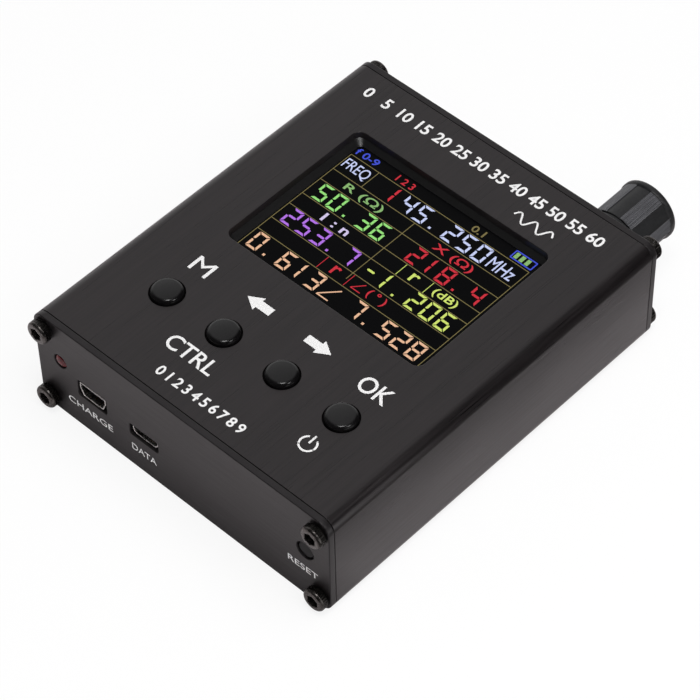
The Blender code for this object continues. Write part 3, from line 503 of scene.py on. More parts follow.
def makeCase():
    low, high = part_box("housing")
    length = (high.y - low.y) / mm + 2 * caseTube["endReach"]
    tube = plateMesh("caseTube", [tubeOutside(), tubeInside()] + screwBores(), length, caseTube["endEdge"])
    width, depth, corner, windowY = caseTube["window"]
    tools = [openingTool("windowTool", lambda grow: roundedBox(width + 2 * grow, depth + 2 * grow,
                corner + grow, (0, windowY), 8), caseTube["windowEdge"])]
    for x in caseTube["holeX"]:
        tools.append(openingTool("keyHoleTool", lambda grow, x=x: circlePoints(
                    caseTube["holeRadius"] + grow, 64, (x, caseTube["holeY"])), caseTube["holeEdge"]))
    top = caseTube["height"]
    case = newPiece("caseTube", tube, makeFinish("blackAnodisedBrushedAluminium", caseTube["finish"]),
        "case", ["housing"], turn=90, place=(0, 0, top / 2), cuts=tools)
    # The window's wall faces take the paler copy: painted light in the window's shade
    case.data.materials.append(makeFinish("blackAnodisedMilledWall", caseTube["wallFinish"]))
    for face in case.data.polygons:
        x, y, z = face.center / mm
        inWindow = abs(x) < width / 2 + 0.05 and abs(y - windowY) < depth / 2 + 0.05
        if inWindow and top - caseTube["wall"] - 0.1 < z < top - 0.1 and abs(face.normal.z) < 0.9:
            face.material_index = 1


def makeEndPlates():
    finish = makeFinish("blackAnodisedBrushedPlate", endPlate["finish"])
    sawn = makeFinish("blackAnodisedSawnEdge", endPlate["edgeFinish"])
    middle = caseTube["height"] / 2
    front, rear = [tubeOutside()] + screwBores(), [tubeOutside()] + screwBores()
    for name in ("charge", "data"):
        x, z, width, height = endPlate[name]
        front.append(roundedBox(width, height, endPlate["openingCorner"], (x, z - middle), 5))
    for name, plate, steps in (("lamp", front, 48), ("reset", front, 48), ("jack", rear, 64)):
        x, z, radius = endPlate[name]
        plate.append(circlePoints(radius, steps, (x, z - middle)))
    y = endPlate["innerFace"] + endPlate["thickness"] / 2
    for name, loops, stands, way in (("socketEndPlate", front, "front_panel", -1),
            ("antennaEndPlate", rear, "rear_panel", 1)):
        mesh = plateMesh(name, loops, endPlate["thickness"], endPlate["edge"])
        plate = newPiece(name, mesh, finish, "case", [stands], turn=90,
            place=(0, way * y, middle))
        # Edge faces take the paler copy: painted light on the plates' edges
        plate.data.materials.append(sawn)
        for face in plate.data.polygons:
            face.material_index = 1 if abs(face.normal.y) < 0.5 else 0


# Corner screws: alloy steel socket heads, knurled, blackened in a hot oxide bath.
# A near-black metal with small bright spots, brown where the oxide is thin.

panelScrew = {
    # Profiles as radius and height over the seat: from the shank's tip to the knurl's top, and the hexagon
    "shank": [(0, -8.0), (1.1, -8.0), (1.4, -7.7), (1.4, 0), (2.6, 0), (2.75, 0.15), (2.75, 1.25)],
    "head": 2.75, "height": 2.1, "round": 0.75, "seat": 50.3,
    "hexagon": [(1.47, 2.1), (1.35, 1.98), (1.35, 0.8), (0, 0.45)],
    "ridged": (5, 6), "ridges": 28, "ridgeDepth": 0.13,
    "finish": finishOf("#373432", "#64605e", 0.4, 1.6, (0.22, 0.36), 0.02, share=0.5, metallic=0.9),
    # The knurled side of the head takes a darker copy of the finish than the face
    "knurlFinish": finishOf("#222120", "#43403e", 0.4, 1.6, (0.2, 0.34), 0.02, share=0.5, metallic=0.9),
    "knurlFrom": 2.2,
}


def makePanelScrews():
    finish = makeFinish("blackOxideAlloySteel", panelScrew["finish"])
    knurl = makeFinish("blackOxideKnurledSteel", panelScrew["knurlFinish"])
    crown = roundTop(panelScrew["head"], panelScrew["height"], panelScrew["round"])
    levels = panelScrew["shank"] + crown[::-1]
    hexStart = len(levels)
    levels += panelScrew["hexagon"]
    channelX, channelZ, channelRadius = caseTube["channel"]

    def reachAt(number, angle, radius):
        if number in panelScrew["ridged"]:
            return radius - panelScrew["ridgeDepth"] * (0.5 - 0.5 * cos(panelScrew["ridges"] * angle))
        if number >= hexStart and radius:
            return radius / cos((angle + pi / 6) % (pi / 3) - pi / 6)
        return radius

    for end, facing, outward in (("front", "socketEnd", -1), ("rear", "antennaEnd", 1)):
        for number, (sx, sz) in enumerate(((-1, -1), (1, -1), (-1, 1), (1, 1)), 1):
            centre = (sx * channelX, outward * panelScrew["seat"], caseTube["height"] / 2 + sz * channelZ)
            mesh = ringsMesh("panelScrew", turnedRings(levels, centre, facing, 120, reachAt))
            screw = newPiece(f"{end}PlateScrew{number}", mesh, finish, "case",
                [f"{end}_panel_screw_{number}"], sharp=40)
            screw.data.materials.append(knurl)
            for face in screw.data.polygons:
                x, y, z = face.center / mm
                proud = outward * y - panelScrew["seat"]
                outside = Vector((x - centre[0], z - centre[2])).length > panelScrew["knurlFrom"]
                if 0 < proud < panelScrew["height"] - panelScrew["round"] and outside:
                    face.material_index = 1


# Keys: ABS caps, moulded glossy and sprayed satin black.
# Each has the case's own grey on its crown and a thin bright line on its shoulder.

key = {
    "names": ("menu", "left", "right", "enter"), "radius": 3.6, "top": 29.3, "dome": 0.22, "round": 1.05,
    "flange": [(3.6, 26.2), (4.4, 26.2), (4.4, 25.4), (1.75, 25.4)], "post": 1.75,
    # Spray grain is about 0.1 mm; it is drawn at 0.35 mm
    "finish": finishOf("#0a090a", "#131213", 0.35, 6.0, (0.16, 0.25), 0.015, share=0.5, specular=0.45),
    # The reset pin keeps its mould's spark-eroded texture
    "pinRadius": 2.0, "pinReach": 0.05, "pinRound": 0.2,
    "pinFinish": finishOf("#1c1b1c", "#272627", 0.25, 3.0, (0.5, 0.62), 0.01, specular=0.14),
}


def makeKeys():
    finish = makeFinish("satinSprayedABS", key["finish"])
    shoulder = key["radius"] - key["round"]
    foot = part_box("menu_button")[0].z / mm
    levels = [(shoulder * i / 6, key["top"] - key["dome"] * (i / 6) ** 2) for i in range(7)]
    levels += roundTop(key["radius"], key["top"] - key["dome"], key["round"])[1:]
    levels += key["flange"] + [(key["post"], foot), (0, foot)]
    for name, x in zip(key["names"], caseTube["holeX"]):
        mesh = ringsMesh(name, turnedRings(levels, (x, caseTube["holeY"], 0), "up", 72))
        newPiece(name + "Key", mesh, finish, name + "_key", [name + "_button"], sharp=40)


def makeResetPin():
    low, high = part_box("reset_button")
    centre = ((low.x + high.x) / 2 / mm, low.y / mm, (low.z + high.z) / 2 / mm)
    length = (high.y - low.y) / mm
    radius, reach = key["pinRadius"], key["pinReach"]
    levels = [(0, reach)] + roundTop(radius, reach, key["pinRound"], 4) + [(radius, -length), (0, -length)]
    mesh = ringsMesh("resetPin", turnedRings(levels, centre, "socketEnd", 48))
    newPiece("resetPin", mesh, makeFinish("mattMouldedABS", key["pinFinish"]), "reset_key",
        ["reset_button"], sharp=40)


makeCase()
makeEndPlates()
makePanelScrews()
makeKeys()
makeResetPin()
print("case, plates, screws and keys made")


# Charge lamp: a 3 mm lamp in red tinted epoxy, cast in a polished mould, dark while it is off

chargeLamp = {
    "centre": (-35.0, 0, 16.8), "radius": 1.68, "tip": 50.2, "dome": 0.8,
    "flange": [(1.68, 48.1), (1.9, 48.1), (1.9, 47.1), (0, 47.1)],
    "finish": finishOf("#33080c", "#6a161c", 0.8, 1.2, (0.1, 0.18), 0.002, ior=1.45, specular=0.28),
}


def makeLamp():
    turns = [i / 10 * pi / 2 for i in range(11)]
    levels = [(chargeLamp["radius"] * sin(turn), chargeLamp["tip"] - chargeLamp["dome"] * (1 - cos(turn)))
        for turn in turns]
    mesh = ringsMesh("chargeLampLens",
        turnedRings(levels + chargeLamp["flange"], chargeLamp["centre"], "socketEnd", 48))
    newPiece("chargeLampLens", mesh, makeFinish("redTintedEpoxy", chargeLamp["finish"]), "case",
        ["charge_lamp"], sharp=40)


# Sockets: shells folded from nickel-plated steel, black nylon tongues with gold-plated springs

socketLooks = {
    # Each side's outline runs down by shares of half the width and of the height
    "charge": {"x": -25.9, "z": 12.55, "width": 7.7, "height": 3.9, "front": -49.8, "depth": 9.0,
        "shares": ((1, 0.52), (0.92, 0.42), (0.78, 0)), "contacts": 5, "pitch": 0.8},
    "data": {"x": -10.7, "z": 11.825, "width": 7.5, "height": 2.45, "front": -49.5, "depth": 5.5,
        "shares": ((1, 0.45), (0.8, 0)), "contacts": 5, "pitch": 0.65},
    "shellWall": 0.35, "shellEdge": 0.12, "fold": 0.5, "back": 1.6, "coreGap": 0.3, "coreEdge": 0.1,
    "tongue": 0.6, "tongueShare": 0.62, "tongueInset": 0.9, "tongueEdge": 0.12,
    # Springs as half width, thickness, how far they stand below the tongue, setback and edge
    "spring": (0.16, 0.12, 0.1, 0.35, 0.03),
    "shellFinish": finishOf("#a5a4a2", "#cfcdca", (0.6, 3.0, 0.6), 3.0, (0.22, 0.36), 0.004, metallic=1.0),
    "tongueFinish": finishOf("#1d1d1e", "#2d2d2e", 0.3, 3.0, (0.45, 0.6), 0.01, ior=1.53),
    "springFinish": finishOf("#c39a4c", "#e0bb6c", (0.2, 1.0, 0.2), 2.0, (0.22, 0.34), 0.003, metallic=1.0),
}


def shellOutline(look, inset):
    half = look["width"] / 2 - inset
    low, high = -look["height"] / 2 + inset, look["height"] / 2 - inset
    right = [(half, high)]
    right += [(half * xShare, low + (high - low) * zShare) for xShare, zShare in look["shares"]]
    return easedCorners(right + [(-x, z) for x, z in reversed(right)], socketLooks["fold"] - inset * 0.6)


def addBlock(shape, low, high, edge):
    made = bmesh.ops.create_cube(shape, size=1)["verts"]
    bmesh.ops.scale(shape, vec=[(b - a) * mm for a, b in zip(low, high)], verts=made)
    bmesh.ops.translate(shape, vec=[(a + b) / 2 * mm for a, b in zip(low, high)], verts=made)
    edges = list({e for v in made for e in v.link_edges})
    bmesh.ops.bevel(shape, geom=edges, offset=edge * mm, segments=2, affect="EDGES", profile=0.5)


def makeSockets():
    shellFinish = makeFinish("nickelPlatedSteel", socketLooks["shellFinish"])
    tongueFinish = makeFinish("blackMouldedNylon", socketLooks["tongueFinish"])
    springFinish = makeFinish("goldPlatedBronze", socketLooks["springFinish"])
    wall, back, thick = socketLooks["shellWall"], socketLooks["back"], socketLooks["tongue"] / 2
    springHalf, springThick, springDrop, setback, springEdge = socketLooks["spring"]
    for name in ("charge", "data"):
        look = socketLooks[name]
        x, z, front, depth = look["x"], look["z"], look["front"], look["depth"]
        shell = plateMesh(name + "Shell", [shellOutline(look, 0), shellOutline(look, wall)], depth,
            socketLooks["shellEdge"])
        newPiece(name + "Shell", shell, shellFinish, "case", [name + "_socket_shell"],
            turn=90, place=(x, front + depth / 2, z), sharp=50)
        core = plateMesh(name + "Core", [shellOutline(look, wall + socketLooks["coreGap"])], back,
            socketLooks["coreEdge"])
        newPiece(name + "Core", core, tongueFinish, "case", [name + "_socket_tongue"],
            turn=90, place=(x, front + depth - back / 2, z))
        tongue, springs = bmesh.new(), bmesh.new()
        half = look["width"] * socketLooks["tongueShare"] / 2
        start, end = front + socketLooks["tongueInset"], front + depth - back + 0.2
        addBlock(tongue, (x - half, start, z - thick), (x + half, end, z + thick),
            socketLooks["tongueEdge"])
        for i in range(look["contacts"]):
            middle = x + (i - (look["contacts"] - 1) / 2) * look["pitch"]
            low = z - thick - springDrop
            addBlock(springs, (middle - springHalf, start + setback, low),
                (middle + springHalf, end, low + springThick), springEdge)
        for part, shape, finish, slot in (("Tongue", tongue, tongueFinish, "black_plastic"),
                ("Springs", springs, springFinish, "gold")):
            newPiece(name + part, fillMesh(bpy.data.meshes.new(name + part), shape), finish, "case")


makeLamp()
makeSockets()
print("lamp and sockets made")


# Dust cap: moulded in black nylon, its grip in six finely ribbed lands with smooth hollows between.
# The lands are painted a greyer tone than the hollows, as sheen of their fine ribs, and the rim keeps a soft
# highlight.

dustCap = {
    # Profiles as radius and Y: the bore, mouth and skirt, then the grip, then the foot of the rim
    "x": 25.9, "z": 14.0,
    "mouth": [(0, 65.9), (5.85, 65.9), (5.85, 54.0), (6.15, 53.7), (6.8, 53.7), (7.05, 53.95),
        (7.05, 55.55), (6.9, 55.7), (6.55, 55.7), (6.55, 56.1)],
    "grip": [(7.13, 56.1), (7.25, 56.22), (7.25, 66.3)], "rimFoot": [(7.3, 66.6), (7.4, 66.75)],
    "rim": 7.4, "end": 68.1, "rimRound": 0.75,
    # The lands' radius, the hollows' radius, and in degrees the first land, its width and its edge
    "land": 7.25, "hollow": 6.95, "landStart": 51.6, "landTurn": 30.0, "landEdge": 1.2, "landStep": 60,
    # The real ribs are about 0.25 mm apart; they are 0.37 mm apart here so that they show
    "ribs": 10, "ribDepth": 0.13,
    "finish": finishOf("#1f1f20", "#2c2c2d", 0.5, 8.0, (0.32, 0.42), 0.006, share=0.5, ior=1.53,
        specular=0.27),
    # The ribbed lands are painted a paler grey: painted sheen for the light that the fine ribs catch
    "landFinish": finishOf("#3a3a3d", "#5d5d61", (0.3, 9.0, 0.3), 5.0, (0.28, 0.38), 0.05, share=0.2,
        bumpStrength=1.0, ior=1.53, specular=1.0),
}


def makeCap():
    mouth, grip, end = dustCap["mouth"], dustCap["grip"], dustCap["end"]
    land, turn, edge = dustCap["land"], dustCap["landTurn"], dustCap["landEdge"]
    levels = mouth + grip + dustCap["rimFoot"]
    levels += roundTop(dustCap["rim"], end, dustCap["rimRound"], 8)[::-1] + [(0, end)]

    def reachAt(number, angle, radius):
        if not len(mouth) <= number < len(mouth) + len(grip):
            return radius
        across = (angle * 180 / pi - dustCap["landStart"]) % dustCap["landStep"]
        rise = min(max(min(across, turn - across) / edge, 0), 1)
        reach = dustCap["hollow"] + (land - dustCap["hollow"]) * rise
        if rise == 1:
            share = (across - edge) / (turn - 2 * edge)
            reach -= dustCap["ribDepth"] * (0.5 - 0.5 * cos(2 * pi * dustCap["ribs"] * share))
        return reach - (land - radius)

    centre = (dustCap["x"], 0, dustCap["z"])
    mesh = ringsMesh("ribbedCap", turnedRings(levels, centre, "antennaEnd", 720, reachAt))
    cap = newPiece("ribbedCap", mesh, makeFinish("blackMouldedNylonCap", dustCap["finish"]), "cap",
        ["dust_cap"], sharp=35)
    # The ribbed lands take the paler copy: painted sheen
    cap.data.materials.append(makeFinish("nylonRibsPaintedSheen", dustCap["landFinish"]))
    for face in cap.data.polygons:
        x, y, z = face.center / mm
        angle = degrees(atan2(z - dustCap["z"], x - dustCap["x"]))
        across = (angle - dustCap["landStart"]) % dustCap["landStep"]
        if grip[0][1] < y < grip[-1][1] and edge / 2 < across < turn - edge / 2:
            face.material_index = 1


# Jack hardware: nickel-plated brass, turned and polished, so that it shows the white room

jackLooks = {
    "acrossFlats": 14.0, "bore": 5.85, "nutCorner": 0.8, "nutEdge": 0.3, "washerEdge": 0.12,
    "finish": finishOf("#a39f96", "#c4c0b6", (0.9, 0.15, 0.9), 5.0, (0.18, 0.3), 0.003, metallic=1.0),
}


def makeJackRings():
    finish = makeFinish("nickelPlatedBrass", jackLooks["finish"])
    low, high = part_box("jack_washer")
    hexagon = circlePoints(jackLooks["acrossFlats"] / 2 / cos(pi / 6), 6)
    round72 = circlePoints((high.x - low.x) / 2 / mm, 72)
    for name, node, outline, edge in (
            ("hexNut", "jack_nut", easedCorners(hexagon, jackLooks["nutCorner"]), jackLooks["nutEdge"]),
            ("flatWasher", "jack_washer", round72, jackLooks["washerEdge"])):
        low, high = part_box(node)
        mesh = plateMesh(name, [outline, circlePoints(jackLooks["bore"], 64)], (high.y - low.y) / mm, edge)
        newPiece(name, mesh, finish, "case", [node], turn=90, place=(low + high) / 2 / mm)


makeCap()
makeJackRings()
print("cap, nut and washer made")


# Display: black liquid-crystal panel under an anti-glare film; the lit image lies in the film's face

display = {
    "glassCorner": 0.5, "glassEdge": 0.15, "glassTop": 25.5, "imageHeight": 0.03,
    # The moulded bezel slopes from the foot of the window's wall to the image; width, depth, corner, X, Y, Z
    "bezelOuter": (54.74, 41.04, 1.9, 0, 12.4, 26.45), "bezelInner": (52.6, 39.5, 1.0, 0.65, 11.8, 25.56),
    "bezelDrop": 0.9,
    "bezelFinish": finishOf("#0b0b0b", "#111011", 0.5, 9.0, (0.3, 0.36), 0.001, ior=1.55, specular=0.55),
    "glassFinish": finishOf("#010102", "#040405", 0.4, 12.0, (0.2, 0.26), 0.001, specular=0.06),
    # Pixels are 0.15 mm apart; their rows are drawn 0.4 mm apart so that they show
    "pixelPitch": 0.4, "pixelGap": 0.86, "filter": "#08080a",
    # The grid: rows by Y, columns as X and Y from and to
    "left": -25.3, "right": 25.45, "rows": (-6.9, -0.75, 3.4, 8.9, 12.9, 18.5, 22.5, 28.2),
    "lineWidth": 0.16,
    "columns": ((-25.3, -6.9, 28.2), (25.45, -6.9, 28.2), (-1.55, 1.25, 22.5), (-17.1, 22.5, 28.2)),
    "digit": {"width": 3.0, "height": 4.9, "stroke": 0.56, "gap": 0.17, "pitch": 4.154, "dot": 0.58,
        "dotX": 0.6, "dotY": 0.25},
}

# What each colour of the image shows. Bars: start, end and width. Readings: figures, left and foot.
# Words: text, left, bottom, right and top, and how much bolder they are drawn.
image = {
    "pearlBlue": {"colour": "#ced8ff", "readings": [("45.250", -7.62, 23.04)],
        "words": [("FREQ", -24.8, 23.7, -17.9, 27.2, 0), ("MHz", 17.3, 23.4, 23.9, 26.9, 0)]},
    "signalRed": {"colour": "#d2323f", "readings": [("1", -11.77, 23.04), ("218.4", 3.5, 13.3)],
        "bars": [(-8.4, -0.5, -8.4, 3.2, 0.14), (-0.8, -0.5, -0.8, 3.2, 0.14),
            (0.7, 0.2, 2.9, 2.7, 0.22), (0.6, 0.2, 3.3, 0.2, 0.22)],
        "words": [("1 2 3", -13.3, 28.9, -8.5, 30.8, 0.012),
            ("X (Ω)", 5.8, 19.0, 16.5, 21.8, 0.012),
            ("r", -5.6, 0.2, -3.7, 2.6, 0.012), ("( ° )", 4.4, 0.1, 9.3, 2.9, 0.012)]},
    "leafGreen": {"colour": "#9be77f", "readings": [("50.36", -23.4, 13.3)]},
    "violet": {"colour": "#b977ee", "readings": [("253.7", -23.4, 3.8)]},
    "lime": {"colour": "#d5e873", "readings": [("-1.206", -0.6, 3.8)],
        "bars": [(5.2, 9.1, 5.2, 12.7, 0.14), (12.8, 9.1, 12.8, 12.7, 0.14)],
        "words": [("(dB)", 14.2, 9.6, 20.6, 12.3, 0.012), ("r", 7.9, 9.7, 9.9, 12.0, 0.012)]},
    "peach": {"colour": "#f0c09c", "readings": [("0.613", -24.0, -6.0), ("7.528", 4.4, -6.0)],
        "bars": [(-3.3, -5.7, 0.3, -1.9, 0.3), (-3.4, -5.8, -0.2, -5.8, 0.3)]},
    "tan": {"colour": "#7f744a", "words": [("0.1", 8.3, 28.9, 11.7, 30.8, 0.012)],
        "bars": [(display["left"], y, display["right"], y, display["lineWidth"]) for y in display["rows"]]
        + [(x, low, x, high, display["lineWidth"]) for x, low, high in display["columns"]]},
    "deepBlue": {"colour": "#4656d8", "words": [("f 0-9", -25.1, 28.9, -18.9, 30.9, 0.012)],
        "bars": [(19.6, 28.9, 25.2, 28.9, 0.3), (19.6, 31.2, 25.2, 31.2, 0.3),
            (19.6, 28.9, 19.6, 31.2, 0.3), (25.2, 28.9, 25.2, 31.2, 0.3)]},
    "paleGreen": {"colour": "#8cba74", "words": [("R (Ω)", -19.9, 19.0, -9.0, 21.8, 0.012)],
        "bars": [(20.5, 29.2, 20.5, 30.9, 0.9), (22.0, 29.2, 22.0, 30.9, 0.9),
            (23.5, 29.2, 23.5, 30.9, 0.9)]},
    "lilac": {"colour": "#d9cdf2", "words": [("1 : n", -17.3, 9.7, -9.9, 12.2, 0.02)]},
}
segments = {"0": "abcdef", "1": "bc", "2": "abged", "3": "abgcd", "4": "fgbc", "5": "afgcd", "6": "afgecd",
    "7": "abc", "8": "abcdefg", "9": "abcdfg", "-": "g"}


def addPrism(shape, outline, low, high):
    bottom, top = [[shape.verts.new((x * mm, y * mm, z * mm)) for x, y in outline] for z in (low, high)]
    shape.faces.new(bottom[::-1])
    shape.faces.new(top)
    for i in range(len(outline)):
        j = (i + 1) % len(outline)
        shape.faces.new((bottom[i], bottom[j], top[j], top[i]))


def addBar(shape, start, end, width, low, high):
    start, end = Vector(start), Vector(end)
    ahead = (end - start).normalized()
    side = Vector((-ahead.y, ahead.x)) * width / 2
    addPrism(shape, [tuple(c) for c in (start - side, end - side, end + side, start + side)], low, high)


def segmentOutlines():
    d = display["digit"]
    w, h, t, g = d["width"], d["height"], d["stroke"], d["gap"]
    m = h / 2
    top = [(g, h), (g + t, h - t), (w - g - t, h - t), (w - g, h)]
    post = [(0, h - g), (0, m + g), (t / 2, m + g), (t, m + t / 2 + g / 2), (t, h - t - g)]
    bar = [(g + t / 2, m), (g + t, m - t / 2), (w - g - t, m - t / 2), (w - g - t / 2, m),
        (w - g - t, m + t / 2), (g + t, m + t / 2)]
    return {"a": top, "d": [(x, h - y) for x, y in reversed(top)], "g": bar, "f": post,
        "b": [(w - x, y) for x, y in reversed(post)], "e": [(x, h - y) for x, y in reversed(post)],
        "c": [(w - x, h - y) for x, y in post]}


def addReading(shape, text, x, y, low, high):
    # Seven-segment figures, one to a cell; a figure one stands in the middle of its cell
    outlines = segmentOutlines()
    d = display["digit"]
    for character in text:
        shift = -(d["width"] - d["stroke"]) / 2 if character == "1" else 0
        if character == ".":
            left, foot, size = x + d["dotX"], y + d["dotY"], d["dot"]
            addPrism(shape, [(left, foot), (left + size, foot), (left + size, foot + size),
                    (left, foot + size)],
                low, high)
        else:
            for part in segments[character]:
                addPrism(shape, [(px + x + shift, py + y) for px, py in outlines[part]], low, high)
        x += d["pitch"]


def addWord(shape, text, box, low, high, weight=0.0):
    # Plain letters or figures fitted to a box of left, bottom, right and top; with no left they keep their
    # own width about the right one's place
    curve = bpy.data.curves.new("word", "FONT")
    curve.body = text
    curve.resolution_u = 4
    curve.extrude = 0.5
    curve.offset = weight
    guide = addObject("word", curve)
    mesh = realMesh(guide)
    bpy.data.objects.remove(guide)
    xs, ys = [v.co.x for v in mesh.vertices], [v.co.y for v in mesh.vertices]
    left, bottom, right, top = box
    tall = (top - bottom) / (max(ys) - min(ys))
    if left is None:
        half = tall * (max(xs) - min(xs)) / 2
        left, right = right - half, right + half
    wide = (right - left) / (max(xs) - min(xs))
    for vertex in mesh.vertices:
        x, y, z = vertex.co
        vertex.co = ((left + (x - min(xs)) * wide) * mm, (bottom + (y - min(ys)) * tall) * mm,
            (low + (z + 0.5) * (high - low)) * mm)
    shape.from_mesh(mesh)
    bmesh.ops.remove_doubles(shape, verts=shape.verts, dist=mm / 2000)
    bpy.data.meshes.remove(mesh)
    bpy.data.curves.remove(curve)


def litPixels(name, colour):
    # Light from behind a colour filter, cut in rows by the pixels
    material, tree, shader, surface = startMaterial(name)
    pitch = [1 / (display["pixelPitch"] * mm)] * 3
    turned = addNode(tree, "Mapping", {"Scale": pitch, "Vector": surface})
    rows = addNode(tree, "TexChecker", {"Scale": 1.0, "Vector": turned})
    level = addNode(tree, "MapRange", {"To Min": display["pixelGap"], "To Max": 1.0,
            "Value": rows.outputs["Fac"]})
    for key, value in (("Base Color", linear(display["filter"])), ("Roughness", 0.4),
            ("Specular IOR Level", 0.05), ("Emission Color", linear(colour))):
        shader.inputs[key].default_value = value
    tree.links.new(level.outputs["Result"], shader.inputs["Emission Strength"])
    return material


def makeDisplay():
    low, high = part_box("display_glass")
    size = (high - low) / mm
    glass = plateMesh("displayPanel", [roundedBox(size.x, size.y, display["glassCorner"])], size.z,
        display["glassEdge"])
    newPiece("displayPanel", glass, makeFinish("antiGlareDisplayGlass", display["glassFinish"]), "case",
        ["display_glass"], place=(low + high) / 2 / mm)

    points = []
    for name, drop in (("bezelOuter", 0), ("bezelInner", 0), ("bezelOuter", display["bezelDrop"])):
        width, depth, corner, x, y, z = display[name]
        points += [(px, py, z - drop) for px, py in roundedBox(width, depth, corner, (x, y), 8)]
    count = len(points) // 3
    faces = [(a * count + i, a * count + (i + 1) % count, b * count + (i + 1) % count, b * count + i)
        for a, b in ((0, 1), (1, 2), (2, 0)) for i in range(count)]
    newPiece("displayBezel", pointMesh("displayBezel", points, faces),
        makeFinish("glossyPolycarbonate", display["bezelFinish"]), "case")

    bottom, top = display["glassTop"], display["glassTop"] + display["imageHeight"]
    for name, lit in image.items():
        shape = bmesh.new()
        for x, y, endX, endY, width in lit.get("bars", ()):
            addBar(shape, (x, y), (endX, endY), width, bottom, top)
        for text, x, y in lit.get("readings", ()):
            addReading(shape, text, x, y, bottom, top)
        for text, *box, weight in lit.get("words", ()):
            addWord(shape, text, box, bottom, top, weight)
        newPiece(name + "Pixels", fillMesh(bpy.data.meshes.new(name + "Pixels"), shape),
            litPixels("litDisplay" + name[0].upper() + name[1:], lit["colour"]), "case")


makeDisplay()
print("display made")


# Marks: screen-printed epoxy ink, slightly raised and matt, in generic words, figures and signs

ink = {
    "height": 0.03, "plateFace": 50.0,
    "finish": finishOf("#ecebeb", "#f6f5f5", 0.25, 5.0, (0.5, 0.62), 0.004, specular=0.3),
    # Words as text, box of left, bottom, right and top, and how much bolder they are drawn
    "topWords": (("M", (-26.7, -20.2, -21.7, -15.9), 0), ("OK", (21.0, -20.5, 28.9, -16.1), 0.01),
        ("CTRL", (-15.6, -38.5, -2.5, -34.5), 0.01)),
    "endWords": (("RESET", (30.3, 8.1, 38.6, 9.9), 0), ("CHARGE", (-33.6, 5.7, -20.3, 7.6), 0),
        ("DATA", (-14.6, 5.5, -7.4, 7.4), 0)),
    # Arrows by X and the way that they point
    "arrows": ((-8.25, -1), (8.56, 1)), "arrowY": -17.5,
    "arrow": [(-3.45, -1.05), (0.15, -1.05), (0.15, -2.0), (3.45, 0), (0.15, 2.0), (0.15, 1.05),
        (-3.45, 1.05)],
    "power": {"x": 24.4, "y": -37.3, "radius": 1.9, "stroke": 0.45, "gap": 32, "steps": 40,
        "bar": (0.2, 2.5)},
    # Rows of plain numbers
    "numbers": ({"left": -33.5, "right": 31.1, "count": 13, "step": 5, "y": 41.2, "height": 3.1},
        {"left": -10.7, "right": 11.9, "count": 10, "step": 1, "y": -44.9, "height": 2.6}),
    "numberWeight": 0.02,
    "wave": {"left": 13.6, "length": 10.5, "y": 36.9, "swing": 1.3, "turns": 2.5, "steps": 60,
        "stroke": 0.42},
}


def addPowerSign(shape, low, high):
    power = ink["power"]
    x, y, gap, steps = power["x"], power["y"], radians(power["gap"]), power["steps"]
    outer, inner = power["radius"] + power["stroke"] / 2, power["radius"] - power["stroke"] / 2
    turns = [pi / 2 + gap + (2 * pi - 2 * gap) * i / steps for i in range(steps + 1)]
    for a, b in zip(turns, turns[1:]):
        corners = [(outer, a), (outer, b), (inner, b), (inner, a)]
        addPrism(shape, [(x + r * cos(t), y + r * sin(t)) for r, t in corners], low, high)
    foot, tip = power["bar"]
    addBar(shape, (x, y + foot), (x, y + tip), power["stroke"], low, high)


def addWave(shape, low, high):
    wave = ink["wave"]
    shares = [i / wave["steps"] for i in range(wave["steps"] + 1)]
    points = [(wave["left"] + share * wave["length"],
               wave["y"] + wave["swing"] * sin(2 * pi * wave["turns"] * share))
        for share in shares]
    for start, end in zip(points, points[1:]):
        addBar(shape, start, end, wave["stroke"], low, high)


def makeMarks():
    finish = makeFinish("screenPrintedInk", ink["finish"])
    top, ends = bmesh.new(), bmesh.new()
    low, high = caseTube["height"], caseTube["height"] + ink["height"]
    for text, box, weight in ink["topWords"]:
        addWord(top, text, box, low, high, weight)
    for x, way in ink["arrows"]:
        outline = [(x + way * px, ink["arrowY"] + py) for px, py in ink["arrow"]]
        addPrism(top, outline if way > 0 else outline[::-1], low, high)
    addPowerSign(top, low, high)
    for row in ink["numbers"]:
        for i in range(row["count"]):
            x = row["left"] + i * (row["right"] - row["left"]) / (row["count"] - 1)
            box = (None, row["y"], x, row["y"] + row["height"])
            addWord(top, str(i * row["step"]), box, low, high, ink["numberWeight"])
    addWave(top, low, high)
    for text, box, weight in ink["endWords"]:
        addWord(ends, text, box, ink["plateFace"], ink["plateFace"] + ink["height"], weight)
    for name, shape, turn in (("topMarks", top, None), ("socketEndMarks", ends, 90)):
        newPiece(name, fillMesh(bpy.data.meshes.new(name), shape), finish, "case",
            turn=turn)


makeMarks()
print("printed marks made")


# What stays from the CAD gets its own finish

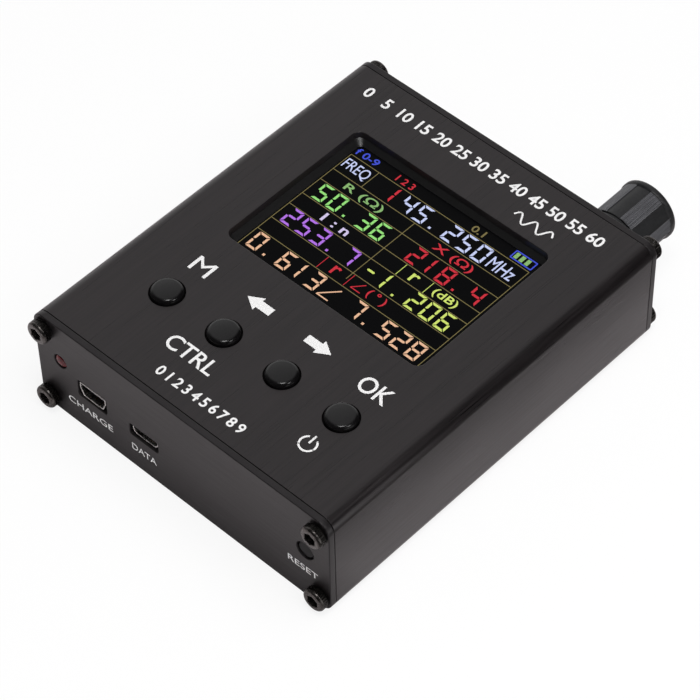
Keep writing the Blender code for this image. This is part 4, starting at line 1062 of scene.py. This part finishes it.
insideLooks = {
    # Black ABS with a fine mould texture
    "blackSparkedABS": (finishOf("#121213", "#1d1d1e", 0.25, 6.0, (0.45, 0.6), 0.01, ior=1.53),
        "display_frame", "menu_switch", "left_switch", "right_switch", "enter_switch", "reset_switch",
        "lamp_holder", "board_header", "board_socket", "processor"),
    # Closed-cell foam, die-cut, deep black
    "dieCutFoam": (finishOf("#09090a", "#141415", 0.3, 4.0, (0.85, 0.97), 0.03, ior=1.45, specular=0.2),
        "display_tape", "battery_pad"),
    # Dense foam, painted grey as light that lifts it out of the window's shade
    "gasketFoamPaintedLight": (finishOf("#3f3c3d", "#524e4f", 0.3, 4.0, (0.6, 0.75), 0.02, ior=1.45),
        "window_gasket"),
    # Glass-fibre board under green solder mask, with the weave telegraphing through
    "greenSolderMask": (finishOf("#0c3f22", "#18592f", 0.6, 9.0, (0.3, 0.42), 0.01, ior=1.55),
        "main_board", "display_board"),
    # Polyimide film, amber and glossy
    "polyimideFilm": (finishOf("#8a4e14", "#b97322", (0.4, 6.0, 0.4), 6.0, (0.22, 0.34), 0.004, ior=1.7),
        "display_flex"),
    # Turned brass under bright nickel
    "brightNickelBrass": (finishOf("#a39f96", "#c4c0b6", (0.9, 0.15, 0.9), 5.0, (0.2, 0.32), 0.003,
            metallic=1.0),
        "antenna_jack", "board_standoff_1", "board_standoff_2", "board_standoff_3", "board_standoff_4"),
    # Zinc-plated steel, slightly cloudy
    "zincPlatedSteel": (finishOf("#8e9092", "#b4b6b8", 0.4, 3.0, (0.28, 0.42), 0.006, metallic=1.0),
        "board_screw_1", "board_screw_2", "board_screw_3", "board_screw_4"),
    # Tinned steel can, rolled
    "tinnedSteelSheet": (finishOf("#8d8f92", "#a9abae", (0.4, 9.0, 0.4), 8.0, (0.3, 0.44), 0.006,
            metallic=1.0),
        "radio_shield"),
    # Pouch foil, satin silver
    "pouchFoil": (finishOf("#8b8d90", "#a6a8ab", 2.5, 14.0, (0.34, 0.46), 0.03, metallic=0.9),
        "battery"),
    # White nylon connector housing
    "whiteNylon": (finishOf("#dcd9cf", "#eae7de", 0.4, 4.0, (0.42, 0.55), 0.006, ior=1.53),
        "battery_socket", "battery_plug"),
    # Pressed fluoropolymer, waxy white
    "waxyFluoropolymer": (finishOf("#e6e6e2", "#f1f1ee", 0.5, 3.0, (0.36, 0.48), 0.004, ior=1.38),
        "jack_insulator"),
    # Bronze under hard gold
    "hardGoldBronze": (finishOf("#c39a4c", "#e0bb6c", 0.4, 2.0, (0.2, 0.3), 0.002, metallic=1.0),
        "jack_contact"),
    # Drawn copper tube
    "drawnCopper": (finishOf("#a3603c", "#c67c54", (0.3, 0.3, 2.0), 3.0, (0.26, 0.38), 0.004, metallic=1.0),
        "coax_link"),
    # Moulded rubber seal and lead insulation
    "blackRubber": (finishOf("#0f0f10", "#191919", 0.3, 3.0, (0.75, 0.9), 0.015, ior=1.52),
        "cap_seal", "battery_lead"),
}

for name, (look, *nodes) in insideLooks.items():
    finish = makeFinish(name, look)
    for node in nodes:
        slots = cadNodes[node].data.materials
        if len(slots) == 0:
            slots.append(finish)
        for i in range(len(slots)):
            slots[i] = finish
print("inside parts finished")
